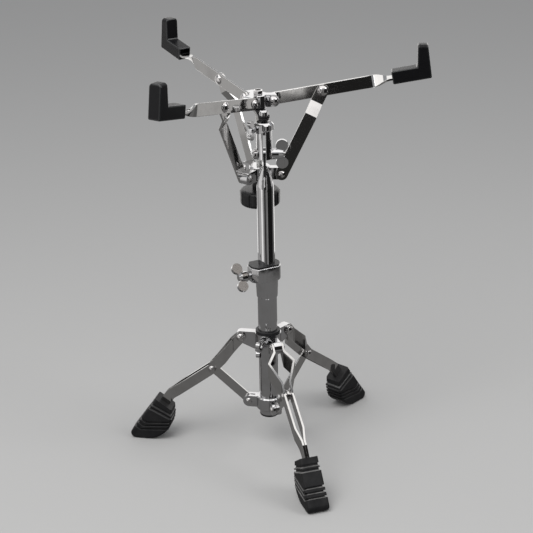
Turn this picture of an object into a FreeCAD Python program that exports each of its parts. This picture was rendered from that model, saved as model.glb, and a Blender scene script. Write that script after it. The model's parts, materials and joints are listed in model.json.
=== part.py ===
"""Snare drum stand: a folding tripod, a telescoping column, a tilter and a three-arm drum basket.

The frame has its origin on the column axis at floor level, +Z up. Millimetres and degrees.
"""
import FreeCAD
import Part
import Sketcher
import math
import os

Vector = FreeCAD.Vector
Rotation = FreeCAD.Rotation
Placement = FreeCAD.Placement

doc = FreeCAD.newDocument("snare_drum_stand")
sheet = doc.addObject("Spreadsheet::Sheet", "sizes")

DRIVING_SIZES = {
    # Fits: fixed seats, turning pins, sliding tubes and flat running faces
    "seat_gap": 0.02,
    "pin_gap": 0.06,
    "slide_gap": 0.08,
    "face_gap": 0.15,
    # Cuts run past the metal by this much
    "overrun": 1,
    # Base column
    "base_tube_diameter": 25.4,
    "base_tube_wall": 1.2,
    "base_tube_bottom": 50,
    "base_tube_length": 188,
    "base_plug_flange": 3,
    "base_plug_depth": 12,
    # Brace hub at the foot of the base tube
    "brace_hub_diameter": 34,
    "brace_hub_height": 19,
    "brace_hub_bevel": 1.5,
    "brace_pivot_radius": 27,
    "brace_pivot_rise": 16.5,
    "brace_lug_round": 8,
    "brace_lug_cheek": 4.6,
    "brace_lug_root": 2.4,
    "brace_pin_diameter": 5,
    "rivet_head_diameter": 9.5,
    "rivet_head_height": 2.6,
    # Leg hub that slides on the base tube
    "leg_hub_diameter": 35,
    "leg_hub_bottom": 139,
    "leg_hub_height": 30,
    "leg_hub_skirt_diameter": 31,
    "leg_hub_skirt_height": 9,
    "leg_pivot_radius": 36,
    "leg_pivot_rise": 21.8,
    "leg_lug_round": 8.2,
    "leg_pin_diameter": 6,
    "leg_pivot_head": 11,
    "leg_ring_diameter": 32.6,
    "leg_ring_height": 4,
    "leg_screw_turn_angle": 85,
    "leg_screw_rise": 22.5,
    "leg_screw_diameter": 6,
    "leg_screw_stand_off": 7,
    "leg_boss_diameter": 14,
    "leg_boss_reach": 29,
    # Legs: two bent strips, brace bar and rubber foot
    "leg_left_angle": 168,
    "leg_spacing_angle": 120,
    "leg_strip_thickness": 2.5,
    "leg_strip_width": 14,
    "leg_hub_spread": 13,
    "leg_bow_spread": 34,
    "leg_bow_start": 46,
    "leg_bow_radius": 55,
    "leg_toe_spread": 11,
    "leg_shoe_spread": 3.4,
    "leg_rivet_radius": 77,
    "leg_rivet_height": 110.6,
    "leg_rivet_diameter": 4,
    "leg_spacer_diameter": 8,
    "leg_close_radius": 122,
    "leg_knee_radius": 137,
    "leg_knee_height": 66.2,
    "leg_end_run": 20,
    "leg_end_height": 38,
    "leg_brace_width": 13,
    "leg_brace_thickness": 2.5,
    "leg_brace_slot": 2.9,
    "leg_brace_play": 1.6,
    "foot_lead": 15.5,
    "foot_depth": 27,
    "foot_heel_round": 36,
    "foot_toe_round": 7,
    "foot_top_width": 24,
    "foot_sole_width": 29,
    "foot_groove_depth": 1.6,
    "foot_rib_step": 9,
    "foot_edge_round": 3,
    # Height clamp on top of the base tube
    "clamp_skirt_height": 18,
    "clamp_skirt_diameter": 27.6,
    "clamp_neck_diameter": 29.6,
    "clamp_bevel": 1.4,
    "clamp_rise": 27.5,
    "clamp_block_height": 19.5,
    "clamp_block_width": 30,
    "clamp_block_back": 10,
    "clamp_block_side": 19.5,
    "clamp_block_reach": 25,
    "clamp_nose_width": 12,
    "clamp_edge_round": 1.2,
    "clamp_screw_angle": 207,
    "clamp_screw_drop": 11.5,
    "clamp_screw_diameter": 8,
    "clamp_screw_stand_off": 2.5,
    "clamp_wing_turn_angle": 42,
    "bush_lip_height": 2.2,
    "bush_lip_inset": 1.2,
    # Wing screws and wing nut
    "wing_thickness": 5,
    "clamp_wing_span": 39,
    "clamp_wing_lobe": 14,
    "clamp_wing_hub": 14,
    "leg_wing_span": 21,
    "leg_wing_lobe": 9,
    "leg_wing_hub": 9.5,
    "tilt_wing_span": 38,
    "tilt_wing_lobe": 15.6,
    "tilt_wing_hub": 14,
    "crown_wing_span": 25,
    "crown_wing_lobe": 8,
    "crown_wing_hub": 8.5,
    # Upper tube: its end is drawn to a point that carries a flat blade
    "upper_tube_diameter": 22.2,
    "upper_tube_wall": 1.2,
    "upper_tube_inside": 118,
    "upper_tube_length": 247,
    "bullet_height": 33,
    "bullet_end_diameter": 5,
    "tang_thickness": 3.2,
    "tang_width": 16,
    "tang_root": 17,
    "tang_height": 15.4,
    # Tilter
    "tilt_bolt_diameter": 7,
    "tilt_head_diameter": 13,
    "tilt_head_height": 5,
    "tilt_washer_diameter": 15,
    "tilt_washer_height": 1.2,
    "tilter_diameter": 19.6,
    "tilter_skirt": 5.6,
    "tilter_rise": 31.3,
    "tilter_bridge": 4,
    "tilter_flat_depth": 1.2,
    "tilt_bolt_stand_out": 2,
    "stem_diameter": 6,
    "stem_cap_diameter": 11,
    "stem_cap_height": 7,
    "stem_cap_bevel": 1.6,
    "crown_diameter": 25,
    "crown_height": 11,
    "crown_bevel": 2,
    "crown_flute": 2.2,
    "crown_flute_count": 10,
    "crown_boss_width": 13,
    "crown_boss_reach": 17.5,
    "crown_screw_angle": 230,
    "crown_screw_diameter": 5,
    "crown_screw_stand_off": 1,
    # Basket: offset bracket, hubs, rod and knob
    "basket_offset": 42,
    "basket_angle": 99.25,
    "bracket_height": 8,
    "bracket_bar_height": 4.6,
    "bracket_width": 14,
    "bracket_boss_diameter": 15.4,
    "bracket_boss_foot": 8.8,
    "arm_left_angle": 235,
    "arm_back_angle": 123,
    "arm_right_angle": 356,
    "arm_slope_angle": 10,
    "arm_pivot_radius": 20,
    "arm_pivot_rise": 9.23,
    "arm_bolt_head": 12,
    "arm_pin_diameter": 6,
    "arm_lug_width": 10.8,
    "hub_diameter": 24,
    "hub_lug_round": 8,
    "rod_diameter": 8,
    "rod_end": 5.5,
    "rod_chamfer": 1,
    "rod_nut_height": 5,
    "rod_nut_diameter": 13,
    "lower_pivot_radius": 29,
    "lower_pivot_drop": 97.43,
    "lower_hub_diameter": 27,
    "lower_hub_height": 20,
    "lower_lug_width": 10.8,
    "lower_pin_diameter": 5,
    "knob_diameter": 53,
    "knob_height": 21.5,
    "knob_edge": 5,
    "knob_neck_diameter": 20,
    "knob_neck_height": 11.35,
    "knob_flute_count": 12,
    "knob_flute": 2.2,
    # Basket arms and their braces
    "arm_thickness": 3,
    "arm_width": 16,
    "arm_twist_start": 118,
    "arm_twist_length": 32,
    "arm_tongue_length": 38,
    "brace_joint_radius": 82.15,
    "brace_rivet_diameter": 6,
    "brace_rivet_head": 14,
    "brace_rivet_dome": 4,
    "basket_brace_width": 16,
    "basket_brace_thickness": 3,
    "basket_brace_play": 2,
    "basket_brace_bend_start": 17,
    "basket_brace_bend_length": 16,
    # Rubber tips
    "tip_start": 152.8,
    "tip_length": 49.5,
    "tip_width": 18,
    "tip_below": 7,
    "tip_above": 10,
    "tip_seat_drop": 3,
    "tip_upright_height": 45.5,
    "tip_upright_top": 13,
    "tip_upright_bottom": 16,
    "tip_crown_round": 4.5,
    "tip_edge_round": 1.5,
}


class Size:
    """A length or angle that carries its value and the sheet expression behind it."""

    def __init__(self, text, value):
        self.text = text
        self.value = value

    def __add__(self, other):
        other = as_size(other)
        return Size(f"({self.text} + {other.text})", self.value + other.value)

    def __sub__(self, other):
        other = as_size(other)
        return Size(f"({self.text} - {other.text})", self.value - other.value)

    def __mul__(self, other):
        other = as_size(other)
        return Size(f"({self.text} * {other.text})", self.value * other.value)

    def __truediv__(self, other):
        other = as_size(other)
        return Size(f"({self.text} / {other.text})", self.value / other.value)

    def __neg__(self):
        return Size(f"(0 - {self.text})", -self.value)

    def __radd__(self, other):
        return as_size(other) + self

    def __rsub__(self, other):
        return as_size(other) - self

    def __rmul__(self, other):
        return as_size(other) * self


def as_size(number):
    if isinstance(number, Size):
        return number
    return Size(f"({number})", float(number))


def cosine(angle):
    angle = as_size(angle)
    return Size(f"cos({angle.text})", math.cos(math.radians(angle.value)))


def sine(angle):
    angle = as_size(angle)
    return Size(f"sin({angle.text})", math.sin(math.radians(angle.value)))


def tangent(angle):
    return sine(angle) / cosine(angle)


def bearing(rise, run):
    """Angle in degrees of a line that climbs by rise over run."""
    rise = as_size(rise)
    run = as_size(run)
    value = math.degrees(math.atan2(rise.value, run.value))
    return Size(f"(atan2({rise.text}; {run.text}) / 1 deg)", value)


def span(run, rise):
    run = as_size(run)
    rise = as_size(rise)
    return Size(f"sqrt({run.text}^2 + {rise.text}^2)", math.hypot(run.value, rise.value))


class Sizes:
    """Every driving size of the sheet, by its name."""


size = Sizes()
for row, (alias, number) in enumerate(DRIVING_SIZES.items(), start=1):
    sheet.set(f"A{row}", alias)
    sheet.set(f"B{row}", str(number))
    sheet.setAlias(f"B{row}", alias)
    setattr(size, alias, Size(f"sizes.{alias}", float(number)))
doc.recompute()

nodes = []


def bind(feature, path, amount):
    """Tie one property of a feature to the sheet."""
    feature.setExpression(path, as_size(amount).text)


def new_body(name):
    return doc.addObject("PartDesign::Body", name)


def finish(piece):
    """Count a finished piece among the nodes of the stand."""
    nodes.append(piece)
    return piece


def place(piece, x=0, y=0, z=0, yaw=0, pitch=0, roll=0):
    """Stand a piece at a point, rolled about X, then pitched about Y, then turned about Z."""
    x, y, z = as_size(x), as_size(y), as_size(z)
    yaw, pitch, roll = as_size(yaw), as_size(pitch), as_size(roll)
    turn = Rotation(yaw.value, pitch.value, roll.value)
    piece.Placement = Placement(Vector(x.value, y.value, z.value), turn)
    bind(piece, "Placement.Base.x", x)
    bind(piece, "Placement.Base.y", y)
    bind(piece, "Placement.Base.z", z)
    return piece


def sketch_on(body, plane, level=0, turn=0):
    """Sketch on an origin plane, moved along that plane's axis and turned about Z.

    The XZ and YZ sketches have their second axis along Z; level runs along +Y, +X or +Z.
    """
    level = as_size(level)
    turn = as_size(turn)
    sketch = body.newObject("Sketcher::SketchObject", body.Name + "_sketch")
    support = [item for item in body.Origin.OriginFeatures if item.Role == plane + "_Plane"]
    sketch.AttachmentSupport = [(support[0], "")]
    sketch.MapMode = "FlatFace"
    if plane == "XZ":
        level = -level
    if plane == "XY":
        sketch.AttachmentOffset = Placement(Vector(0, 0, level.value), Rotation())
        bind(sketch, "AttachmentOffset.Base.z", level)
        return sketch
    across = level * sine(turn)
    along = level * cosine(turn)
    upright = Rotation(Vector(0, 1, 0), turn.value)
    sketch.AttachmentOffset = Placement(Vector(across.value, 0, along.value), upright)
    bind(sketch, "AttachmentOffset.Base.x", across)
    bind(sketch, "AttachmentOffset.Base.z", along)
    return sketch


def pin_point(sketch, shape, point, x, y):
    """Hold one point of a sketch at its distances from the sketch origin."""
    for direction, amount in (("DistanceX", as_size(x)), ("DistanceY", as_size(y))):
        rule = Sketcher.Constraint(direction, -1, 1, shape, point, amount.value)
        index = sketch.addConstraint(rule)
        bind(sketch, f"Constraints[{index}]", amount)


def draw_outline(sketch, corners):
    """Closed outline through its corners; a corner that names a centre starts an arc about it."""
    first = sketch.GeometryCount
    count = len(corners)
    places = [(as_size(corner[0]), as_size(corner[1])) for corner in corners]
    for index, corner in enumerate(corners):
        x, y = places[index]
        next_x, next_y = places[(index + 1) % count]
        start = Vector(x.value, y.value, 0)
        end = Vector(next_x.value, next_y.value, 0)
        if len(corner) == 2:
            sketch.addGeometry(Part.LineSegment(start, end), False)
            continue
        centre = Vector(as_size(corner[2]).value, as_size(corner[3]).value, 0)
        begin = math.atan2(start.y - centre.y, start.x - centre.x)
        close = math.atan2(end.y - centre.y, end.x - centre.x)
        if close <= begin:
            close = close + 2 * math.pi
        circle = Part.Circle(centre, Vector(0, 0, 1), (start - centre).Length)
        sketch.addGeometry(Part.ArcOfCircle(circle, begin, close), False)
    for index in range(count):
        following = first + (index + 1) % count
        sketch.addConstraint(Sketcher.Constraint("Coincident", first + index, 2, following, 1))
    for index, corner in enumerate(corners):
        x, y = places[index]
        pin_point(sketch, first + index, 1, x, y)
        if len(corner) == 2:
            continue
        next_x, next_y = places[(index + 1) % count]
        upright_chord = abs(next_y.value - y.value) >= abs(next_x.value - x.value)
        direction = "DistanceX" if upright_chord else "DistanceY"
        amount = as_size(corner[2] if upright_chord else corner[3])
        rule = Sketcher.Constraint(direction, -1, 1, first + index, 3, amount.value)
        constraint = sketch.addConstraint(rule)
        bind(sketch, f"Constraints[{constraint}]", amount)


def draw_circle(sketch, x, y, radius):
    x, y, radius = as_size(x), as_size(y), as_size(radius)
    circle = Part.Circle(Vector(x.value, y.value, 0), Vector(0, 0, 1), radius.value)
    shape = sketch.addGeometry(circle, False)
    pin_point(sketch, shape, 3, x, y)
    index = sketch.addConstraint(Sketcher.Constraint("Radius", shape, radius.value))
    bind(sketch, f"Constraints[{index}]", radius)


def box_corners(low_x, low_y, high_x, high_y):
    return [(low_x, low_y), (high_x, low_y), (high_x, high_y), (low_x, high_y)]


def capsule_corners(start_x, end_x, y, radius):
    """Bar along X with round ends about its two end points."""
    return [
        (start_x, y - radius),
        (end_x, y - radius, end_x, y),
        (end_x, y + radius),
        (start_x, y + radius, start_x, y),
    ]


def pad(body, sketch, length, both_ways=False):
    feature = body.newObject("PartDesign::Pad", body.Name + "_pad")
    feature.Profile = sketch
    feature.Midplane = both_ways
    bind(feature, "Length", length)
    return feature


def pocket(body, sketch, length, both_ways=False):
    feature = body.newObject("PartDesign::Pocket", body.Name + "_pocket")
    feature.Profile = sketch
    feature.Midplane = both_ways
    bind(feature, "Length", length)
    return feature


def revolve(body, sketch, axis="V_Axis"):
    feature = body.newObject("PartDesign::Revolution", body.Name + "_turned")
    feature.Profile = sketch
    feature.ReferenceAxis = (sketch, [axis])
    feature.Angle = 360
    return feature


def repeat_round(body, features, count):
    """Repeat features about the body's Z axis."""
    pattern = body.newObject("PartDesign::PolarPattern", body.Name + "_pattern")
    pattern.Originals = features
    axis = [item for item in body.Origin.OriginFeatures if item.Role == "Z_Axis"][0]
    pattern.Axis = (axis, [""])
    pattern.Angle = 360
    bind(pattern, "Occurrences", count)
    body.Tip = pattern
    return pattern


def round_edges(body, radius, is_chosen):
    """Round every edge of a body whose middle point passes a test."""
    doc.recompute()
    solid = body.Tip
    chosen = []
    for index, edge in enumerate(solid.Shape.Edges, start=1):
        middle = edge.valueAt((edge.FirstParameter + edge.LastParameter) / 2)
        if is_chosen(middle):
            chosen.append(f"Edge{index}")
    feature = body.newObject("PartDesign::Fillet", body.Name + "_round")
    feature.Base = (solid, chosen)
    bind(feature, "Radius", radius)
    return feature


def turned(name, profile):
    """Piece turned about Z from a half section of (radius, height) corners."""
    body = new_body(name)
    sketch = sketch_on(body, "XZ")
    draw_outline(sketch, profile)
    revolve(body, sketch)
    return body


def offset_side(points, half):
    """Line that runs beside a bent line at a steady distance, with mitred corners."""
    headings = []
    for (x, y), (next_x, next_y) in zip(points, points[1:]):
        headings.append(bearing(next_y - y, next_x - x))
    side = []
    for index, (x, y) in enumerate(points):
        before = headings[max(index - 1, 0)]
        after = headings[min(index, len(headings) - 1)]
        middle = (before + after) / 2
        reach = half / cosine((after - before) / 2)
        side.append((x - reach * sine(middle), y + reach * cosine(middle)))
    return side


def domed_rivet(name, pin, head, dome, grip):
    """Rivet along Z about its own middle: a pin with a domed head at each end of its grip."""
    pin_radius = pin / 2
    head_radius = head / 2
    dome_radius = (head_radius * head_radius + dome * dome) / (2 * dome)
    half = grip / 2
    end = half + dome
    return turned(name, [
        (0, -end, 0, -end + dome_radius),
        (head_radius, -half),
        (pin_radius, -half),
        (pin_radius, half),
        (head_radius, half, 0, end - dome_radius),
        (0, end),
    ])


def group(name, pieces):
    """Like pieces that share one node."""
    compound = doc.addObject("Part::Compound", name)
    compound.Links = pieces
    return finish(compound)


# Proportions of a cast wing screw, as shares of its lobe radius, hub diameter and hub radius
WING_NECK = 0.62
WING_SWEEP = 0.6
HUB_WINGS = 0.55
HUB_NOSE = 0.25
HUB_FOOT = 0.2
NOSE_WIDTH = 0.55
FOOT_WIDTH = 0.8


def wing_outline(body, root, reach, wings_span, lobe):
    """Two flat wings with round lobes, spread along Z from a hub on the X axis."""
    lobe_radius = lobe / 2
    lobe_height = wings_span / 2 - lobe_radius
    neck = lobe_radius * WING_NECK
    web = sketch_on(body, "XZ")
    draw_outline(web, [
        (reach - neck, -lobe_height),
        (reach + neck, -lobe_height),
        (root + neck, 0),
        (reach + neck, lobe_height),
        (reach - neck, lobe_height),
        (root - neck, 0),
    ])
    pad(body, web, size.wing_thickness, both_ways=True)
    for height in (lobe_height, -lobe_height):
        lobes = sketch_on(body, "XZ")
        draw_circle(lobes, reach, height, lobe_radius)
        pad(body, lobes, size.wing_thickness, both_ways=True)


def wing_screw(name, shank, shank_length, hub, wings_span, lobe):
    """Cast wing screw along X: its tip at the origin, its hub and wings at the far end."""
    body = new_body(name)
    hub_radius = hub / 2
    hub_end = shank_length + hub
    sketch = sketch_on(body, "XZ")
    draw_outline(sketch, [
        (0, 0),
        (hub_end, 0),
        (hub_end, hub_radius * NOSE_WIDTH),
        (hub_end - hub * HUB_NOSE, hub_radius),
        (shank_length + hub * HUB_FOOT, hub_radius),
        (shank_length, hub_radius * FOOT_WIDTH),
        (shank_length, shank / 2),
        (0, shank / 2),
    ])
    revolve(body, sketch, "H_Axis")
    root = shank_length + hub * HUB_WINGS
    wing_outline(body, root, root + lobe / 2 * WING_SWEEP, wings_span, lobe)
    return finish(body)


# Base tube and the plastic plug in its lower end
base_radius = size.base_tube_diameter / 2
base_bore = base_radius - size.base_tube_wall
base_bottom = size.base_tube_bottom
base_top = base_bottom + size.base_tube_length
base_tube = finish(turned("base_tube", box_corners(base_bore, base_bottom, base_radius, base_top)))

plug_radius = base_bore - size.seat_gap
plug_bottom = base_bottom - size.base_plug_flange
base_plug = finish(turned("base_plug", [
    (0, plug_bottom),
    (base_radius - size.base_plug_flange / 3, plug_bottom),
    (base_radius, base_bottom - size.base_plug_flange / 2),
    (base_radius, base_bottom),
    (plug_radius, base_bottom),
    (plug_radius, base_bottom + size.base_plug_depth),
    (0, base_bottom + size.base_plug_depth),
]))

leg_angles = [
    ("left", size.leg_left_angle),
    ("front", size.leg_left_angle + size.leg_spacing_angle),
    ("right", size.leg_left_angle + 2 * size.leg_spacing_angle),
]

# Brace hub: a collar fixed on the base tube with three forked lugs
brace_hub = new_body("brace_hub")
hub_radius = size.brace_hub_diameter / 2
pivot_r = size.brace_pivot_radius
pivot_z = base_bottom + size.brace_pivot_rise
hub_low = pivot_z - size.brace_hub_height / 2
hub_high = pivot_z + size.brace_hub_height / 2
bevel = size.brace_hub_bevel
collar = sketch_on(brace_hub, "XZ")
draw_outline(collar, [
    (base_radius + size.seat_gap, hub_low),
    (hub_radius - bevel, hub_low),
    (hub_radius, hub_low + bevel),
    (hub_radius, hub_high - bevel),
    (hub_radius - bevel, hub_high),
    (base_radius + size.seat_gap, hub_high),
])
revolve(brace_hub, collar)
lug_gap = size.leg_brace_thickness + 2 * size.face_gap
lug_width = lug_gap + 2 * size.brace_lug_cheek
lug = sketch_on(brace_hub, "XZ")
lug_round = size.brace_lug_round
draw_outline(lug, [
    (hub_radius - bevel, pivot_z - lug_round),
    (pivot_r, pivot_z - lug_round, pivot_r, pivot_z),
    (pivot_r, pivot_z + lug_round),
    (hub_radius - bevel, pivot_z + lug_round),
])
lug_pad = pad(brace_hub, lug, lug_width, both_ways=True)
fork = sketch_on(brace_hub, "XZ")
draw_outline(fork, box_corners(
    hub_radius + size.brace_lug_root, pivot_z - 2 * lug_round,
    pivot_r + 2 * lug_round, pivot_z + 2 * lug_round,
))
fork_cut = pocket(brace_hub, fork, lug_gap, both_ways=True)
eye = sketch_on(brace_hub, "XZ")
draw_circle(eye, pivot_r, pivot_z, size.brace_pin_diameter / 2 + size.seat_gap)
eye_cut = pocket(brace_hub, eye, 2 * lug_width, both_ways=True)
repeat_round(brace_hub, [lug_pad, fork_cut, eye_cut], 3)
finish(place(brace_hub, yaw=size.leg_left_angle))

rivets = []
for side, angle in leg_angles:
    rivet = domed_rivet(
        f"brace_hub_rivet_{side}", size.brace_pin_diameter,
        size.rivet_head_diameter, size.rivet_head_height, lug_width,
    )
    place(rivet, pivot_r * cosine(angle), pivot_r * sine(angle), pivot_z, angle, 0, -90)
    rivets.append(rivet)
group("brace_hub_rivets", rivets)

# Leg hub: a sliding collar with three solid lugs and a boss for its wing screw
leg_hub = new_body("leg_hub")
leg_hub_radius = size.leg_hub_diameter / 2
leg_hub_low = size.leg_hub_bottom
leg_hub_high = leg_hub_low + size.leg_hub_height
leg_skirt_radius = size.leg_hub_skirt_diameter / 2
collar = sketch_on(leg_hub, "XZ")
draw_outline(collar, [
    (0, leg_hub_low),
    (leg_skirt_radius, leg_hub_low),
    (leg_hub_radius, leg_hub_low + size.leg_hub_skirt_height),
    (leg_hub_radius, leg_hub_high),
    (0, leg_hub_high),
])
revolve(leg_hub, collar)
leg_lug_width = size.leg_hub_spread - size.leg_strip_thickness - 2 * size.face_gap
leg_r = size.leg_pivot_radius
leg_z = leg_hub_low + size.leg_pivot_rise
leg_round = size.leg_lug_round
leg_root = leg_skirt_radius - size.overrun
lug = sketch_on(leg_hub, "XZ")
draw_outline(lug, [
    (leg_root, leg_hub_low + size.leg_hub_skirt_height / 2),
    (leg_r, leg_z - leg_round, leg_r, leg_z),
    (leg_r, leg_z + leg_round),
    (leg_root, leg_z + leg_round),
])
lug_pad = pad(leg_hub, lug, leg_lug_width, both_ways=True)
eye = sketch_on(leg_hub, "XZ")
draw_circle(eye, leg_r, leg_z, size.leg_pin_diameter / 2 + size.seat_gap)
eye_cut = pocket(leg_hub, eye, 2 * leg_lug_width, both_ways=True)
repeat_round(leg_hub, [lug_pad, eye_cut], 3)
leg_screw_z = leg_hub_low + size.leg_screw_rise
boss = sketch_on(leg_hub, "YZ", turn=size.leg_screw_turn_angle)
draw_circle(boss, 0, leg_screw_z, size.leg_boss_diameter / 2)
pad(leg_hub, boss, size.leg_boss_reach)
bore = sketch_on(leg_hub, "XY", level=leg_hub_low + size.leg_hub_height / 2)
draw_circle(bore, 0, 0, base_radius + size.slide_gap)
pocket(leg_hub, bore, 2 * size.leg_hub_height, both_ways=True)
thread = sketch_on(leg_hub, "YZ", level=size.leg_boss_reach, turn=size.leg_screw_turn_angle)
draw_circle(thread, 0, leg_screw_z, size.leg_screw_diameter / 2 + size.pin_gap)
pocket(leg_hub, thread, size.leg_boss_reach)
finish(place(leg_hub, yaw=size.leg_left_angle))

finish(turned("leg_hub_ring", box_corners(
    base_radius + size.slide_gap, leg_hub_high,
    size.leg_ring_diameter / 2, leg_hub_high + size.leg_ring_height,
)))

leg_grip = size.leg_hub_spread + size.leg_strip_thickness + 2 * size.face_gap
rivets = []
for side, angle in leg_angles:
    rivet = domed_rivet(
        f"leg_hub_rivet_{side}", size.leg_pin_diameter,
        size.leg_pivot_head, size.rivet_head_height, leg_grip,
    )
    place(rivet, leg_r * cosine(angle), leg_r * sine(angle), leg_z, angle, 0, -90)
    rivets.append(rivet)
group("leg_hub_pivots", rivets)

leg_screw_angle = size.leg_left_angle + size.leg_screw_turn_angle
leg_screw_tip = base_radius + 2 * size.slide_gap
leg_shank = size.leg_boss_reach - leg_screw_tip + size.leg_screw_stand_off
leg_wing = wing_screw(
    "leg_hub_wing_screw", size.leg_screw_diameter, leg_shank,
    size.leg_wing_hub, size.leg_wing_span, size.leg_wing_lobe,
)
place(
    leg_wing, leg_screw_tip * cosine(leg_screw_angle), leg_screw_tip * sine(leg_screw_angle),
    leg_screw_z, leg_screw_angle,
)

# Legs: each a pair of bent strips that bow apart round the tube, drawn as a plan and a side view
rivet_r = size.leg_rivet_radius
rivet_z = size.leg_rivet_height
leg_end_r = size.leg_knee_radius + size.leg_end_run
leg_side_line = [
    (leg_r, leg_z),
    (rivet_r, rivet_z),
    (size.leg_knee_radius, size.leg_knee_height),
    (leg_end_r, size.leg_end_height),
]
leg_top_edge = offset_side(leg_side_line, size.leg_strip_width / 2)
leg_low_edge = offset_side(leg_side_line, -size.leg_strip_width / 2)
leg_ceiling = leg_z + size.leg_strip_width
leg_reach = leg_end_r + size.leg_strip_width
leg_inside = leg_r - 2 * size.leg_strip_width


def leg_strip(name, angle, hand):
    """One leg strip: hand is 1 on the counterclockwise side of the leg and -1 on the other."""
    body = new_body(name)
    hub_y = hand * size.leg_hub_spread / 2
    bow_y = hand * size.leg_bow_spread / 2
    toe_y = hand * size.leg_toe_spread / 2
    shoe_y = hand * size.leg_shoe_spread / 2
    bend = size.leg_strip_thickness
    plan_line = [
        (leg_r - size.leg_strip_width, hub_y),
        (size.leg_bow_start, hub_y),
        (size.leg_bow_radius, bow_y),
        (rivet_r - 2 * bend, toe_y),
        (size.leg_close_radius, toe_y),
        (size.leg_knee_radius, shoe_y),
        (leg_reach, shoe_y),
    ]
    left = offset_side(plan_line, bend / 2)
    right = offset_side(plan_line, -bend / 2)
    plan = sketch_on(body, "XY")
    draw_outline(plan, right + left[::-1])
    pad(body, plan, leg_ceiling)
    above = sketch_on(body, "XZ")
    draw_outline(above, [
        (leg_reach + size.overrun, leg_ceiling + size.overrun),
        (leg_reach + size.overrun, leg_top_edge[-1][1]),
        *leg_top_edge[:0:-1],
        (*leg_top_edge[0], leg_r, leg_z),
        leg_low_edge[0],
        (leg_low_edge[0][0], -size.overrun),
        (leg_inside, -size.overrun),
        (leg_inside, leg_ceiling + size.overrun),
    ])
    pocket(body, above, 2 * size.leg_bow_spread, both_ways=True)
    below = sketch_on(body, "XZ")
    draw_outline(below, [
        (leg_low_edge[0][0], -size.overrun),
        (leg_reach + size.overrun, -size.overrun),
        (leg_reach + size.overrun, leg_top_edge[-1][1]),
        leg_top_edge[-1],
        *leg_low_edge[::-1],
    ])
    pocket(body, below, 2 * size.leg_bow_spread, both_ways=True)
    holes = sketch_on(body, "XZ")
    draw_circle(holes, leg_r, leg_z, size.leg_pin_diameter / 2 + size.pin_gap)
    draw_circle(holes, rivet_r, rivet_z, size.leg_rivet_diameter / 2 + size.seat_gap)
    pocket(body, holes, 2 * size.leg_bow_spread, both_ways=True)
    return finish(place(body, yaw=angle))


# Side view of the rubber foot: top edge square to the leg, sloping front, round toe, flat sole,
# round heel and plumb back
leg_fall = bearing(size.leg_knee_height - size.leg_end_height, size.leg_end_run)
fall_run = cosine(leg_fall)
fall_drop = sine(leg_fall)
foot_middle = (
    size.leg_knee_radius + size.foot_lead * fall_run,
    size.leg_knee_height - size.foot_lead * fall_drop,
)
foot_half = size.foot_depth / 2
foot_front = (foot_middle[0] + foot_half * fall_drop, foot_middle[1] + foot_half * fall_run)
foot_back = (foot_middle[0] - foot_half * fall_drop, foot_middle[1] - foot_half * fall_run)
heel_centre = (foot_back[0] + size.foot_heel_round, size.foot_heel_round)
front_length = (foot_front[1] - size.foot_toe_round * (1 + fall_run)) / fall_drop
toe_centre = (
    foot_front[0] + front_length * fall_run - size.foot_toe_round * fall_drop, size.foot_toe_round,
)
QUARTER_TURN = 90


def front_point(share, inset=0):
    """Point on the sloping front, from the top edge at 0 to the toe at 1, or set in from it."""
    along = front_length * share
    return (
        foot_front[0] + along * fall_run - inset * fall_drop,
        foot_front[1] - along * fall_drop - inset * fall_run,
    )


def back_point(share):
    """Point on the back: from the top edge at -1 down to the heel at 0 and round it to the sole at 1."""
    if share <= 0:
        return (foot_back[0], heel_centre[1] + (heel_centre[1] - foot_back[1]) * share)
    turn = QUARTER_TURN * share
    return (
        heel_centre[0] - size.foot_heel_round * cosine(turn),
        heel_centre[1] - size.foot_heel_round * sine(turn),
    )


# Ribs of the foot from its collar to the last ring: start and end on the front and on the back
FOOT_RIBS = [
    (0.0, 0.131, -1.0, -0.44),
    (0.178, 0.23, -0.15, 0.03),
    (0.277, 0.592, 0.077, 0.127),
    (0.624, 0.699, 0.159, 0.22),
    (0.727, 0.811, 0.249, 0.329),
]
FOOT_TOE = (0.835, 0.358)
STEPPED_BELOW = 0.5


def rib_line(front_share, back_share):
    """Edge of a rib from the front to the back; the low ribs step down behind the front first."""
    line = [front_point(front_share)]
    if front_share > STEPPED_BELOW:
        line.append(front_point(front_share, size.foot_rib_step))
    line.append(back_point(back_share))
    return line


def on_foot_side(point):
    """Tell whether a point lies on the front, toe, heel or back edge of the foot's flank."""
    near = 0.01
    if abs(point.y) < size.foot_top_width.value / 2 - near:
        return False
    off_front = (
        (point.x - foot_front[0].value) * fall_drop.value
        + (point.z - foot_front[1].value) * fall_run.value
    )
    off_back = point.x - foot_back[0].value
    off_heel = math.hypot(point.x - heel_centre[0].value, point.z - heel_centre[1].value)
    off_heel = off_heel - size.foot_heel_round.value
    in_heel = point.x < heel_centre[0].value and point.z < heel_centre[1].value
    return abs(off_front) < near or abs(off_back) < near or in_heel and abs(off_heel) < near


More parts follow.
